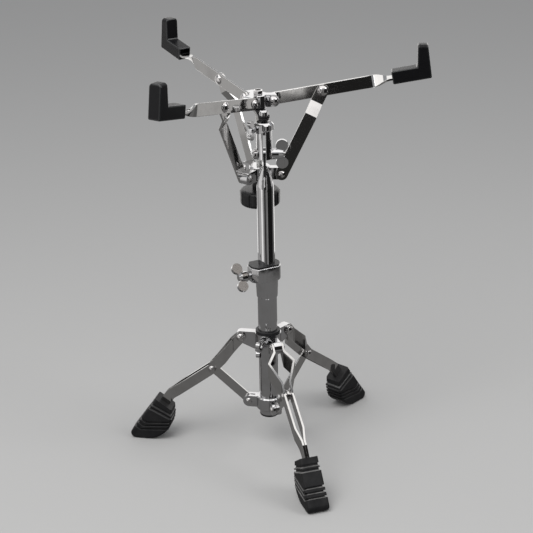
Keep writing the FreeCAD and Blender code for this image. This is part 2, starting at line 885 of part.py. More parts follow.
def rubber_foot(name, angle, strips):
    """Ribbed rubber shoe moulded round the two strips of a leg."""
    body = new_body(f"{name}_moulding")
    groove = size.foot_groove_depth
    core_front = front_point(0, groove)
    core_back = foot_back[0] + groove
    core = sketch_on(body, "XZ")
    draw_outline(core, [
        (core_back, foot_back[1] + groove * fall_run / fall_drop),
        (core_back, heel_centre[1], *heel_centre),
        (heel_centre[0], groove),
        (toe_centre[0], groove, *toe_centre),
        front_point(1, groove),
        core_front,
    ])
    pad(body, core, size.foot_top_width - 2 * groove, both_ways=True)
    widening = size.foot_sole_width - size.foot_top_width
    for front_start, front_end, back_start, back_end in FOOT_RIBS:
        high_line = rib_line(front_start, back_start)
        low_line = rib_line(front_end, back_end)
        high_back = high_line.pop()
        if back_start > 0:
            high_back = (*high_back, *heel_centre)
        rib = sketch_on(body, "XZ")
        draw_outline(rib, [high_back, *low_line[::-1], *high_line])
        pad(body, rib, size.foot_top_width + widening * front_end, both_ways=True)
    front_start, back_start = FOOT_TOE
    toe_line = rib_line(front_start, back_start)
    toe_back = toe_line.pop()
    toe = sketch_on(body, "XZ")
    draw_outline(toe, [
        (*toe_back, *heel_centre),
        (heel_centre[0], 0),
        (toe_centre[0], 0, *toe_centre),
        front_point(1),
        *toe_line,
    ])
    pad(body, toe, size.foot_sole_width, both_ways=True)
    round_edges(body, size.foot_edge_round, on_foot_side)
    place(body, yaw=angle)
    shoe = body
    for index, strip in enumerate(strips):
        cut = doc.addObject("Part::Cut", name if index else f"{name}_part")
        cut.Base = shoe
        cut.Tool = strip
        shoe = cut
    return finish(shoe)


brace_run = rivet_r - pivot_r
brace_rise = rivet_z - pivot_z
brace_length = span(brace_run, brace_rise)
brace_angle = bearing(brace_rise, brace_run)


def leg_brace(name, angle):
    """Flat bar from the brace hub to the leg rivet, with a long eye at its upper end."""
    body = new_body(name)
    half = size.leg_brace_width / 2
    bar = sketch_on(body, "XZ")
    draw_outline(bar, capsule_corners(0, brace_length, 0, half))
    pad(body, bar, size.leg_brace_thickness, both_ways=True)
    eye = sketch_on(body, "XZ")
    draw_circle(eye, 0, 0, size.brace_pin_diameter / 2 + size.pin_gap)
    pocket(body, eye, 2 * size.leg_brace_thickness, both_ways=True)
    slot = sketch_on(body, "XZ")
    slot_radius = size.leg_rivet_diameter / 2 + size.leg_brace_play
    slot_reach = size.leg_brace_slot - size.leg_brace_play
    draw_outline(slot, capsule_corners(
        brace_length - slot_reach, brace_length + slot_reach, 0, slot_radius,
    ))
    pocket(body, slot, 2 * size.leg_brace_thickness, both_ways=True)
    place(body, pivot_r * cosine(angle), pivot_r * sine(angle), pivot_z, angle, -brace_angle)
    return finish(body)


def leg_rivet(name, angle):
    """Rivet through both strips, with a spacer on each side of the brace bar."""
    outer = size.leg_toe_spread + size.leg_strip_thickness
    rivet = domed_rivet(
        f"{name}_pin", size.leg_rivet_diameter,
        size.rivet_head_diameter, size.rivet_head_height, outer,
    )
    place(rivet, rivet_r * cosine(angle), rivet_r * sine(angle), rivet_z, angle, 0, -90)
    pieces = [rivet]
    near = size.leg_brace_thickness / 2 + size.face_gap
    far = (size.leg_toe_spread - size.leg_strip_thickness) / 2
    for hand in (1, -1):
        spacer = turned(f"{name}_spacer_{'far' if hand > 0 else 'near'}", box_corners(
            size.leg_rivet_diameter / 2 + size.seat_gap, near, size.leg_spacer_diameter / 2, far,
        ))
        roll = -90 if hand > 0 else 90
        place(spacer, rivet_r * cosine(angle), rivet_r * sine(angle), rivet_z, angle, 0, roll)
        pieces.append(spacer)
    return group(name, pieces)


for side, angle in leg_angles:
    strips = [leg_strip(f"leg_{side}_strip_{edge}", angle, hand) for edge, hand in (("a", 1), ("b", -1))]
    leg_rivet(f"leg_{side}_rivet", angle)
    leg_brace(f"leg_{side}_brace", angle)
    rubber_foot(f"leg_{side}_foot", angle, strips)

# Height clamp: a cast sleeve over the top of the base tube that ends in a block with a blunt nose
clamp_low = base_top - size.clamp_skirt_height
clamp_high = base_top + size.clamp_rise
block_low = clamp_high - size.clamp_block_height
clamp_skirt = size.clamp_skirt_diameter / 2
clamp_neck = size.clamp_neck_diameter / 2
clamp_bevel = size.clamp_bevel


def clamp_outline(inset):
    """Plan of the clamp block: flat sides, a round back and a blunt nose, drawn in by the inset."""
    half = size.clamp_block_width / 2 - inset
    nose = size.clamp_nose_width / 2
    return [
        (size.clamp_block_side - inset, -half),
        (size.clamp_block_reach - inset, -nose),
        (size.clamp_block_reach - inset, nose),
        (size.clamp_block_side - inset, half),
        (-size.clamp_block_back, half, 0, 0),
        (-size.clamp_block_back, -half),
    ]


height_clamp = new_body("height_clamp")
block = sketch_on(height_clamp, "XY", level=block_low)
draw_outline(block, clamp_outline(0))
pad(height_clamp, block, size.clamp_block_height)
round_edges(height_clamp, size.clamp_edge_round, lambda edge: True)
sleeve = sketch_on(height_clamp, "XZ")
draw_outline(sleeve, [
    (0, clamp_low),
    (clamp_skirt - clamp_bevel / 2, clamp_low),
    (clamp_skirt, clamp_low + clamp_bevel),
    (clamp_neck, block_low),
    (clamp_neck, clamp_high - clamp_bevel),
    (0, clamp_high - clamp_bevel),
])
revolve(height_clamp, sleeve)
clamp_screw_z = clamp_high - size.clamp_screw_drop
bore = sketch_on(height_clamp, "XY", level=base_top)
draw_circle(bore, 0, 0, base_radius + size.seat_gap)
pocket(height_clamp, bore, 4 * size.clamp_rise, both_ways=True)
thread = sketch_on(height_clamp, "YZ", level=size.clamp_block_reach)
draw_circle(thread, 0, clamp_screw_z, size.clamp_screw_diameter / 2 + size.pin_gap)
pocket(height_clamp, thread, size.clamp_block_reach)
finish(place(height_clamp, yaw=size.clamp_screw_angle))

# Bush of the clamp: nylon, standing on the base tube, with a lip that covers the top of the block
upper_radius = size.upper_tube_diameter / 2
bush_bore = upper_radius + size.slide_gap
clamp_bush = new_body("height_clamp_bush")
liner = sketch_on(clamp_bush, "XY", level=base_top)
draw_circle(liner, 0, 0, base_radius)
pad(clamp_bush, liner, size.clamp_rise)
lip = sketch_on(clamp_bush, "XY", level=clamp_high)
draw_outline(lip, clamp_outline(size.bush_lip_inset))
pad(clamp_bush, lip, size.bush_lip_height)
passage = sketch_on(clamp_bush, "XY", level=base_top)
draw_circle(passage, 0, 0, bush_bore)
pocket(clamp_bush, passage, 4 * size.clamp_rise, both_ways=True)
window = sketch_on(clamp_bush, "YZ", level=base_radius + size.overrun)
draw_circle(window, 0, clamp_screw_z, size.clamp_screw_diameter / 2 + size.face_gap)
pocket(clamp_bush, window, base_radius)
finish(place(clamp_bush, yaw=size.clamp_screw_angle))

clamp_tip = upper_radius + 2 * size.slide_gap
clamp_shank = size.clamp_block_reach - clamp_tip + size.clamp_screw_stand_off
clamp_wing = wing_screw(
    "height_wing_screw", size.clamp_screw_diameter, clamp_shank,
    size.clamp_wing_hub, size.clamp_wing_span, size.clamp_wing_lobe,
)
place(
    clamp_wing, clamp_tip * cosine(size.clamp_screw_angle), clamp_tip * sine(size.clamp_screw_angle),
    clamp_screw_z, size.clamp_screw_angle, roll=size.clamp_wing_turn_angle,
)

# Upper tube: its end is drawn to a bullet shape round a flat blade, the tang that the tilter clasps
tube_low = base_top - size.upper_tube_inside
shoulder = tube_low + size.upper_tube_length
bullet_top = shoulder + size.bullet_height
bullet_end = size.bullet_end_diameter / 2
upper_bore = upper_radius - size.upper_tube_wall
bullet_rise = size.bullet_height
bullet_step = upper_radius - bullet_end
bullet_arc = (bullet_rise * bullet_rise + bullet_step * bullet_step) / (2 * bullet_step)
upper_tube = new_body("upper_tube")
wall = sketch_on(upper_tube, "XZ")
draw_outline(wall, [
    (upper_bore, tube_low),
    (upper_radius, tube_low),
    (upper_radius, shoulder, upper_radius - bullet_arc, shoulder),
    (bullet_end, bullet_top),
    (0, bullet_top),
    (0, shoulder),
    (upper_bore, shoulder),
])
revolve(upper_tube, wall)
tilt_z = bullet_top + size.tang_height
tang_half = size.tang_width / 2
tang = sketch_on(upper_tube, "YZ")
draw_outline(tang, [
    (tang_half, bullet_top - size.tang_root),
    (tang_half, tilt_z, 0, tilt_z),
    (-tang_half, tilt_z),
    (-tang_half, bullet_top - size.tang_root),
])
pad(upper_tube, tang, size.tang_thickness, both_ways=True)
eye = sketch_on(upper_tube, "YZ")
draw_circle(eye, 0, tilt_z, size.tilt_bolt_diameter / 2 + size.pin_gap)
pocket(upper_tube, eye, 2 * size.tang_thickness, both_ways=True)
finish(upper_tube)

# Tilter: a turned body forked over the tang, with a stem that carries the crown and the bracket
tilter_radius = size.tilter_diameter / 2
tilter_top = tilt_z + size.tilter_rise
stem_radius = size.stem_diameter / 2
crown_top = tilter_top + size.crown_height
bracket_top = crown_top + size.bracket_height
tilter = new_body("tilter_body")
column = sketch_on(tilter, "XZ")
draw_outline(column, [
    (0, tilt_z - size.tilter_skirt),
    (tilter_radius, tilt_z - size.tilter_skirt),
    (tilter_radius, tilter_top),
    (stem_radius, tilter_top),
    (stem_radius, bracket_top),
    (0, bracket_top),
])
revolve(tilter, column)
fork = sketch_on(tilter, "YZ")
draw_outline(fork, box_corners(
    -size.tilter_diameter, tilt_z - 2 * size.tilter_skirt,
    size.tilter_diameter, tilter_top - size.tilter_bridge,
))
pocket(tilter, fork, size.tang_thickness + 2 * size.face_gap, both_ways=True)
eye = sketch_on(tilter, "YZ")
draw_circle(eye, 0, tilt_z, size.tilt_bolt_diameter / 2 + size.seat_gap)
pocket(tilter, eye, 2 * size.tilter_diameter, both_ways=True)
flats = sketch_on(tilter, "XZ")
flat_x = tilter_radius - size.tilter_flat_depth
flat_out = tilter_radius + size.overrun
for low_x, high_x in ((flat_x, flat_out), (-flat_out, -flat_x)):
    draw_outline(flats, box_corners(
        low_x, tilt_z - size.tilter_skirt - size.overrun,
        high_x, tilt_z + size.tilt_washer_diameter / 2 + size.overrun,
    ))
pocket(tilter, flats, 2 * size.tilter_diameter, both_ways=True)
finish(tilter)

washer_out = flat_x + size.tilt_washer_height
washers = []
for side, direction in (("left", -90), ("right", 90)):
    washer = turned(f"tilt_washer_{side}", box_corners(
        size.tilt_bolt_diameter / 2 + size.seat_gap, flat_x,
        size.tilt_washer_diameter / 2, washer_out,
    ))
    washer.Placement = Placement(Vector(0, 0, tilt_z.value), Rotation(Vector(0, 1, 0), direction))
    bind(washer, "Placement.Base.z", tilt_z)
    washers.append(washer)
group("tilt_washers", washers)

nut_start = washer_out + size.face_gap
nut_length = size.tilt_wing_hub
bolt_end = nut_start + nut_length + size.tilt_bolt_stand_out
tilt_bolt = new_body("tilt_bolt")
bolt = sketch_on(tilt_bolt, "XZ")
bolt_radius = size.tilt_bolt_diameter / 2
head_radius = size.tilt_head_diameter / 2
head_end = -washer_out - size.tilt_head_height
draw_outline(bolt, [
    (head_end, 0),
    (bolt_end, 0),
    (bolt_end, bolt_radius),
    (-washer_out, bolt_radius),
    (-washer_out, head_radius),
    (head_end + size.tilt_head_height * HUB_FOOT, head_radius),
    (head_end, head_radius * FOOT_WIDTH),
])
revolve(tilt_bolt, bolt, "H_Axis")
finish(place(tilt_bolt, z=tilt_z))

wing_nut = new_body("tilt_wing_nut")
nut_radius = size.tilt_wing_hub / 2
barrel = sketch_on(wing_nut, "XZ")
draw_outline(barrel, [
    (nut_start, 0),
    (nut_start + nut_length, 0),
    (nut_start + nut_length, nut_radius * FOOT_WIDTH),
    (nut_start + nut_length * HUB_WINGS, nut_radius),
    (nut_start, nut_radius),
])
revolve(wing_nut, barrel, "H_Axis")
nut_root = nut_start + nut_length * HUB_WINGS
wing_outline(
    wing_nut, nut_root, nut_root + size.tilt_wing_lobe / 2 * WING_SWEEP,
    size.tilt_wing_span, size.tilt_wing_lobe,
)
thread = sketch_on(wing_nut, "YZ")
draw_circle(thread, 0, 0, bolt_radius + size.pin_gap)
pocket(wing_nut, thread, 4 * bolt_end, both_ways=True)
finish(place(wing_nut, z=tilt_z))

# Crown: a fluted collar on the stem with a small wing screw that locks the swivel
crown = new_body("tilter_crown")
crown_radius = size.crown_diameter / 2
crown_bevel = size.crown_bevel
disc = sketch_on(crown, "XZ")
draw_outline(disc, [
    (0, tilter_top),
    (crown_radius - crown_bevel, tilter_top),
    (crown_radius, tilter_top + crown_bevel),
    (crown_radius, crown_top - 1.5 * crown_bevel),
    (crown_radius - 1.5 * crown_bevel, crown_top),
    (0, crown_top),
])
revolve(crown, disc)
crown_screw_z = tilter_top + size.crown_height / 2
flute = sketch_on(crown, "XY", level=crown_screw_z)
draw_circle(flute, crown_radius + size.crown_flute / 2, 0, size.crown_flute)
flute_cut = pocket(crown, flute, 2 * size.crown_height, both_ways=True)
repeat_round(crown, [flute_cut], size.crown_flute_count)
ear = sketch_on(crown, "YZ")
draw_outline(ear, box_corners(
    -size.crown_boss_width / 2, tilter_top, size.crown_boss_width / 2, crown_top - crown_bevel / 2,
))
pad(crown, ear, size.crown_boss_reach)
bore = sketch_on(crown, "XY", level=crown_screw_z)
draw_circle(bore, 0, 0, stem_radius + size.seat_gap)
pocket(crown, bore, 2 * size.crown_height, both_ways=True)
thread = sketch_on(crown, "YZ", level=size.crown_boss_reach)
draw_circle(thread, 0, crown_screw_z, size.crown_screw_diameter / 2 + size.pin_gap)
pocket(crown, thread, size.crown_boss_reach)
finish(place(crown, yaw=size.crown_screw_angle))

crown_tip = stem_radius + size.face_gap
crown_shank = size.crown_boss_reach - crown_tip + size.crown_screw_stand_off
crown_wing = wing_screw(
    "crown_wing_screw", size.crown_screw_diameter, crown_shank,
    size.crown_wing_hub, size.crown_wing_span, size.crown_wing_lobe,
)
place(
    crown_wing, crown_tip * cosine(size.crown_screw_angle), crown_tip * sine(size.crown_screw_angle),
    crown_screw_z, size.crown_screw_angle,
)

# Offset bracket: a black bar from a coned boss on the stem back to the basket axis, under the stem cap
bracket_low = crown_top + size.face_gap
bracket_high = bracket_top - size.face_gap
bar_low = bracket_high - size.bracket_bar_height
bracket = new_body("basket_bracket")
boss = sketch_on(bracket, "XZ")
draw_outline(boss, [
    (0, bracket_low),
    (size.bracket_boss_foot / 2, bracket_low),
    (size.bracket_boss_diameter / 2, bracket_high - size.bracket_bar_height / 2),
    (size.bracket_boss_diameter / 2, bracket_high),
    (0, bracket_high),
])
revolve(bracket, boss)
bar = sketch_on(bracket, "XY", level=bar_low)
draw_outline(bar, capsule_corners(0, size.basket_offset, 0, size.bracket_width / 2))
pad(bracket, bar, size.bracket_bar_height)
holes = sketch_on(bracket, "XY", level=bracket_low)
draw_circle(holes, 0, 0, stem_radius + size.pin_gap)
draw_circle(holes, size.basket_offset, 0, size.rod_diameter / 2 + size.seat_gap)
pocket(bracket, holes, 4 * size.bracket_height, both_ways=True)
finish(place(bracket, yaw=size.basket_angle))

cap_radius = size.stem_cap_diameter / 2
cap_top = bracket_top + size.stem_cap_height
finish(turned("stem_cap", [
    (0, bracket_top),
    (cap_radius, bracket_top),
    (cap_radius, cap_top - size.stem_cap_bevel),
    (cap_radius - size.stem_cap_bevel, cap_top),
    (0, cap_top),
]))

# Basket hubs: lugs in the three arm directions, the upper one fixed and the lower one sliding
basket_x = size.basket_offset * cosine(size.basket_angle)
basket_y = size.basket_offset * sine(size.basket_angle)
arm_angles = [
    ("left", size.arm_left_angle),
    ("back", size.arm_back_angle),
    ("right", size.arm_right_angle),
]
arm_r = size.arm_pivot_radius
arm_z = bracket_top + size.arm_pivot_rise
arm_level = size.arm_lug_width / 2 + size.face_gap + size.arm_thickness / 2
rod_radius = size.rod_diameter / 2


CORE_CHAMFER = 0.08


def basket_hub(name, core, low, high, pivot, lug_round, lug_width, pin, bore):
    """Turned core with a flat lug and a cross hole towards each arm."""
    body = new_body(name)
    pivot_radius, pivot_height = pivot
    chamfer = core * CORE_CHAMFER
    section = sketch_on(body, "XZ")
    draw_outline(section, [
        (0, low),
        (core - chamfer, low),
        (core, low + chamfer),
        (core, high - chamfer),
        (core - chamfer, high),
        (0, high),
    ])
    revolve(body, section)
    for side, angle in arm_angles:
        lug = sketch_on(body, "XZ", turn=angle)
        draw_outline(lug, [
            (core / 2, pivot_height - lug_round),
            (pivot_radius, pivot_height - lug_round, pivot_radius, pivot_height),
            (pivot_radius, pivot_height + lug_round),
            (core / 2, pivot_height + lug_round),
        ])
        pad(body, lug, lug_width, both_ways=True)
        eye = sketch_on(body, "XZ", turn=angle)
        draw_circle(eye, pivot_radius, pivot_height, pin / 2 + size.seat_gap)
        pocket(body, eye, 2 * lug_width, both_ways=True)
    hole = sketch_on(body, "XY", level=(low + high) / 2)
    draw_circle(hole, 0, 0, bore)
    pocket(body, hole, 2 * (high - low), both_ways=True)
    return finish(place(body, basket_x, basket_y))


hub_low = bracket_high
hub_high = arm_z + size.hub_lug_round
basket_hub(
    "basket_upper_hub", size.hub_diameter / 2, hub_low, hub_high, (arm_r, arm_z),
    size.hub_lug_round, size.arm_lug_width, size.arm_pin_diameter, rod_radius + size.seat_gap,
)


def cross_rivet(name, pivot, angle, middle, pin, head, dome, grip):
    """Rivet across an arm plane: middle is its place along the plane's normal."""
    radius, height = pivot
    rivet = domed_rivet(name, pin, head, dome, grip)
    x = basket_x + radius * cosine(angle) - middle * sine(angle)
    y = basket_y + radius * sine(angle) + middle * cosine(angle)
    return place(rivet, x, y, height, angle, 0, -90)


arm_outer = arm_level + size.arm_thickness / 2 + size.face_gap
arm_grip = arm_outer + size.arm_lug_width / 2
arm_middle = (arm_outer - size.arm_lug_width / 2) / 2
rivets = []
for side, angle in arm_angles:
    rivets.append(cross_rivet(
        f"arm_{side}_bolt", (arm_r, arm_z), angle, arm_middle, size.arm_pin_diameter,
        size.arm_bolt_head, size.brace_rivet_dome, arm_grip,
    ))
group("basket_arm_bolts", rivets)

lower_r = size.lower_pivot_radius
lower_z = arm_z - size.lower_pivot_drop
lower_low = lower_z - size.lower_hub_height / 2
lower_high = lower_z + size.lower_hub_height / 2
brace_level = arm_level - size.arm_thickness / 2 - size.face_gap - size.basket_brace_thickness / 2
brace_inner = brace_level - size.basket_brace_thickness / 2
basket_hub(
    "basket_lower_hub", size.lower_hub_diameter / 2, lower_low, lower_high, (lower_r, lower_z),
    size.hub_lug_round, size.lower_lug_width, size.lower_pin_diameter, rod_radius + size.slide_gap,
)
lower_inner = size.lower_lug_width / 2
brace_foot_level = -lower_inner - size.face_gap - size.basket_brace_thickness / 2
lower_outer = brace_foot_level - size.basket_brace_thickness / 2 - size.face_gap
rivets = []
for side, angle in arm_angles:
    rivets.append(cross_rivet(
        f"lower_{side}_rivet", (lower_r, lower_z), angle, (lower_outer + lower_inner) / 2,
        size.lower_pin_diameter, size.rivet_head_diameter, size.rivet_head_height,
        lower_inner - lower_outer,
    ))
group("basket_lower_rivets", rivets)

# Threaded rod down the basket axis, hung from the upper hub by its nut
knob_high = lower_low - size.face_gap - size.knob_neck_height
knob_low = knob_high - size.knob_height
rod_low = knob_low - size.rod_end
rod_top = hub_high + size.rod_nut_height
rod = turned("basket_rod", [
    (0, rod_low),
    (rod_radius - size.rod_chamfer, rod_low),
    (rod_radius, rod_low + size.rod_chamfer),
    (rod_radius, rod_top),
    (0, rod_top),
])
finish(place(rod, basket_x, basket_y))
nut_outer = size.rod_nut_diameter / 2
rod_nut = turned("basket_rod_nut", [
    (rod_radius + size.seat_gap, hub_high),
    (nut_outer, hub_high),
    (nut_outer, rod_top - size.rod_chamfer),
    (nut_outer - size.rod_chamfer, rod_top),
    (rod_radius + size.seat_gap, rod_top),
])
finish(place(rod_nut, basket_x, basket_y))

# Closing knob: a fluted black wheel on the rod, under the lower hub
knob = new_body("basket_knob")
knob_radius = size.knob_diameter / 2
knob_neck = size.knob_neck_diameter / 2
knob_edge = size.knob_edge
wheel = sketch_on(knob, "XZ")
draw_outline(wheel, [
    (rod_radius + size.pin_gap, knob_low),
    (knob_radius - knob_edge, knob_low, knob_radius - knob_edge, knob_low + knob_edge),
    (knob_radius, knob_low + knob_edge),
    (knob_radius, knob_high - knob_edge, knob_radius - knob_edge, knob_high - knob_edge),
    (knob_radius - knob_edge, knob_high),
    (knob_neck, knob_high),
    (knob_neck, lower_low - size.face_gap),
    (rod_radius + size.pin_gap, lower_low - size.face_gap),
])
revolve(knob, wheel)
flute = sketch_on(knob, "XY", level=knob_low)
draw_circle(flute, knob_radius + size.knob_flute / 2, 0, size.knob_flute)
flute_cut = pocket(knob, flute, 4 * size.knob_height, both_ways=True)
repeat_round(knob, [flute_cut], size.knob_flute_count)
finish(place(knob, basket_x, basket_y))

# Basket arms: flat strips on edge, twisted flat at the end that the rubber tip covers
TWIST_STEPS = 5
arm_slope = size.arm_slope_angle
joint_run = (size.brace_joint_radius - arm_r) / cosine(arm_slope)
joint_z = arm_z + (size.brace_joint_radius - arm_r) * tangent(arm_slope)


def twisted_section(body, level, turn):
    """Cross-section of the strip at one place along its twist."""
    section = sketch_on(body, "YZ", level=level)
    half_thick = size.arm_thickness / 2
    half_wide = size.arm_width / 2
    corners = []
    for thick, wide in ((-1, -1), (1, -1), (1, 1), (-1, 1)):
        a = half_thick * thick
        b = half_wide * wide
        y = arm_level + a * cosine(turn) - b * sine(turn)
        z = a * sine(turn) + b * cosine(turn)
        corners.append((y, z))
    draw_outline(section, corners)
    return section


def basket_arm(name, angle):
    body = new_body(name)
    half = size.arm_width / 2
    twist_end = size.arm_twist_start + size.arm_twist_length
    strip = sketch_on(body, "XZ", level=arm_level)
    draw_outline(strip, [
        (0, -half),
        (size.arm_twist_start, -half),
        (size.arm_twist_start, half),
        (0, half, 0, 0),
    ])
    pad(body, strip, size.arm_thickness, both_ways=True)
    sections = []
    for step in range(TWIST_STEPS):
        share = step / (TWIST_STEPS - 1)
        level = size.arm_twist_start + size.arm_twist_length * share
        sections.append(twisted_section(body, level, QUARTER_TURN * share))
    twist = body.newObject("PartDesign::AdditiveLoft", f"{name}_twist")
    twist.Profile = sections[0]
    twist.Sections = sections[1:]
    tongue = sketch_on(body, "YZ", level=twist_end)
    draw_outline(tongue, box_corners(
        arm_level - half, -size.arm_thickness / 2, arm_level + half, size.arm_thickness / 2,
    ))
    pad(body, tongue, size.arm_tongue_length)
    holes = sketch_on(body, "XZ", level=arm_level)
    draw_circle(holes, 0, 0, size.arm_pin_diameter / 2 + size.pin_gap)
    draw_circle(holes, joint_run, 0, size.brace_rivet_diameter / 2 + size.seat_gap)
    pocket(body, holes, 2 * size.arm_thickness, both_ways=True)
    return finish(place(
        body, basket_x + arm_r * cosine(angle), basket_y + arm_r * sine(angle), arm_z,
        angle, -arm_slope,
    ))


# The raised pad of a rubber tip covers this share of the length in front of the upright
PAD_SHARE = 0.58


def rubber_tip(name, angle, arm):
    """L-shaped rubber tip moulded over the flat end of an arm; its upright stands plumb."""
    body = new_body(f"{name}_moulding")
    lean_x = sine(arm_slope)
    lean_z = cosine(arm_slope)
    end = size.tip_start + size.tip_length
    inner = end - size.tip_upright_bottom
    seat = size.tip_above - size.tip_seat_drop
    pad_end = size.tip_start + (inner - size.tip_start) * PAD_SHARE
    rise = size.tip_upright_height - size.tip_below - size.tip_above
    crown_in = (inner + rise * lean_x, size.tip_above + rise * lean_z)
    crown_out = (
        crown_in[0] + size.tip_upright_top * lean_z, crown_in[1] - size.tip_upright_top * lean_x,
    )
    outline = sketch_on(body, "XZ", level=arm_level)
    draw_outline(outline, [
        (size.tip_start, -size.tip_below),
        (end, -size.tip_below),
        crown_out,
        crown_in,
        (inner, seat),
        (pad_end, seat),
        (pad_end, size.tip_above),
        (size.tip_start, size.tip_above),
    ])
    pad(body, outline, size.tip_width, both_ways=True)

    def on_crown(point):
        flank = abs(point.y - arm_level.value) > size.tip_width.value / 4
        return flank and point.z > crown_out[1].value and point.x > crown_in[0].value

    def on_upright(point):
        flank = abs(point.y - arm_level.value) > size.tip_width.value / 4
        return flank and size.tip_above.value < point.z < crown_out[1].value - size.tip_crown_round.value

    round_edges(body, size.tip_crown_round, on_crown)
    round_edges(body, size.tip_edge_round, on_upright)
    place(
        body, basket_x + arm_r * cosine(angle), basket_y + arm_r * sine(angle), arm_z,
        angle, -arm_slope,
    )
    tip = doc.addObject("Part::Cut", name)
    tip.Base = body
    tip.Tool = arm
    return finish(tip)


def basket_brace(name, angle):
    """Strip from the lower hub to the arm, set over beside the arm, with a wide eye under its rivet."""
    body = new_body(name)
    run = size.brace_joint_radius - lower_r
    rise = joint_z - lower_z
    length = span(run, rise)
    half = size.basket_brace_width / 2
    wide = half + size.overrun
    bend_high = length - size.basket_brace_bend_start
    bend_low = bend_high - size.basket_brace_bend_length
    edge_line = [
        (-half, brace_foot_level),
        (bend_low, brace_foot_level),
        (bend_high, brace_level),
        (length + half, brace_level),
    ]
    left = offset_side(edge_line, size.basket_brace_thickness / 2)
    right = offset_side(edge_line, -size.basket_brace_thickness / 2)
    strip = sketch_on(body, "XY")
    draw_outline(strip, right + left[::-1])
    pad(body, strip, size.basket_brace_width, both_ways=True)
    low_end = sketch_on(body, "XZ")
    draw_outline(low_end, [
        (0, half, 0, 0),
        (0, -half),
        (0, -wide),
        (-wide, -wide),
        (-wide, wide),
        (0, wide),
    ])
    pocket(body, low_end, 4 * size.basket_brace_width, both_ways=True)
    high_end = sketch_on(body, "XZ")
    draw_outline(high_end, [
        (length, -half, length, 0),
        (length, half),
        (length, wide),
        (length + wide, wide),
        (length + wide, -wide),
        (length, -wide),
    ])
    pocket(body, high_end, 4 * size.basket_brace_width, both_ways=True)
    holes = sketch_on(body, "XZ")
    draw_circle(holes, 0, 0, size.lower_pin_diameter / 2 + size.pin_gap)
    draw_circle(holes, length, 0, size.brace_rivet_diameter / 2 + size.basket_brace_play)
    pocket(body, holes, 4 * size.basket_brace_width, both_ways=True)
    return finish(place(
        body, basket_x + lower_r * cosine(angle), basket_y + lower_r * sine(angle), lower_z,
        angle, -bearing(rise, run),
    ))


joint_near = brace_inner - size.face_gap
joint_far = arm_level + size.arm_thickness / 2
for side, angle in arm_angles:
    arm = basket_arm(f"arm_{side}", angle)
    rubber_tip(f"arm_{side}_tip", angle, arm)
    finish(cross_rivet(
        f"arm_{side}_rivet", (size.brace_joint_radius, joint_z), angle,
        (joint_near + joint_far) / 2, size.brace_rivet_diameter, size.brace_rivet_head,
        size.brace_rivet_dome, joint_far - joint_near,
    ))
    basket_brace(f"arm_{side}_brace", angle)

doc.recompute()
for item in doc.Objects:
    if "Invalid" in item.State or "Error" in item.State:
        raise RuntimeError(f"{item.Label} did not build: {item.State}")
for node in nodes:
    if node.Shape.isNull() or not node.Shape.isValid():
        raise RuntimeError(f"{node.Label} has no valid shape")
os.makedirs("parts", exist_ok=True)
for node in nodes:
    node.Shape.exportStep(f"parts/{node.Label}.step")
    print(node.Label, len(node.Shape.Solids), round(node.Shape.Volume, 1))
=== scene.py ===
import bmesh
import bpy
import json
from math import cos, radians, sin, tau
from mathutils import Matrix, Vector


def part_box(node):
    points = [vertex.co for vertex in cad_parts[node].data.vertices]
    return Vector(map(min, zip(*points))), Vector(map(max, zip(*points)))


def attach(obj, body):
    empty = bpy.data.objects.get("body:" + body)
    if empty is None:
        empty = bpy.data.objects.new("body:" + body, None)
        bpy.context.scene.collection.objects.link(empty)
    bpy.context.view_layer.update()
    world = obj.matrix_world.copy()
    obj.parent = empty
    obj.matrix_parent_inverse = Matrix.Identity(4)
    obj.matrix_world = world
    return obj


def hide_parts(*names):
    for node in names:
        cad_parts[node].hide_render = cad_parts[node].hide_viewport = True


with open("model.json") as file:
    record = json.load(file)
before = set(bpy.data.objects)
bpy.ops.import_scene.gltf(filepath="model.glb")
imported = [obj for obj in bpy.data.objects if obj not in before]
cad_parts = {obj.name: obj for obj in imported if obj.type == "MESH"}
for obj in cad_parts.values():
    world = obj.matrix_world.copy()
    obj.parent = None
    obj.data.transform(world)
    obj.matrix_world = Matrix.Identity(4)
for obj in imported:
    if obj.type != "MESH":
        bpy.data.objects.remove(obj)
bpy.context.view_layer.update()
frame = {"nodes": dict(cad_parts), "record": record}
nodes = frame["nodes"]

# Base tube: drawn steel tube, polished and chromium plated, hazed by years of clamping and sliding.
# It stands in the brace hub and carries the leg hub and the height clamp.
MILLIMETRE = 0.001
WELD_DISTANCE = 0.001 * MILLIMETRE
FLAT_ANGLE = radians(0.4)
CORNER_ANGLE = radians(14)
EDGE_STEPS = 3
MIX_FIRST = 6
MIX_SECOND = 7
MIX_RESULT = 2
SMUDGE_SCALE = 34
SCRATCH_SCALE = (900, 900, 26)
RIPPLE_SCALE = 75
RIPPLE_HEIGHT = 0.4 * MILLIMETRE
body_of = {
    node: body
    for body, members in frame["record"]["behaviour"]["bodies"].items()
    for node in members
}


def new_group(name, inputs, outputs):
    """Shader node group with named sockets; returns it with its input and output nodes."""
    group = bpy.data.node_groups.new(name, "ShaderNodeTree")
    for label, kind, value in inputs:
        socket = group.interface.new_socket(label, in_out="INPUT", socket_type=kind)
        socket.default_value = value
    for label, kind in outputs:
        group.interface.new_socket(label, in_out="OUTPUT", socket_type=kind)
    return group, group.nodes.new("NodeGroupInput"), group.nodes.new("NodeGroupOutput")


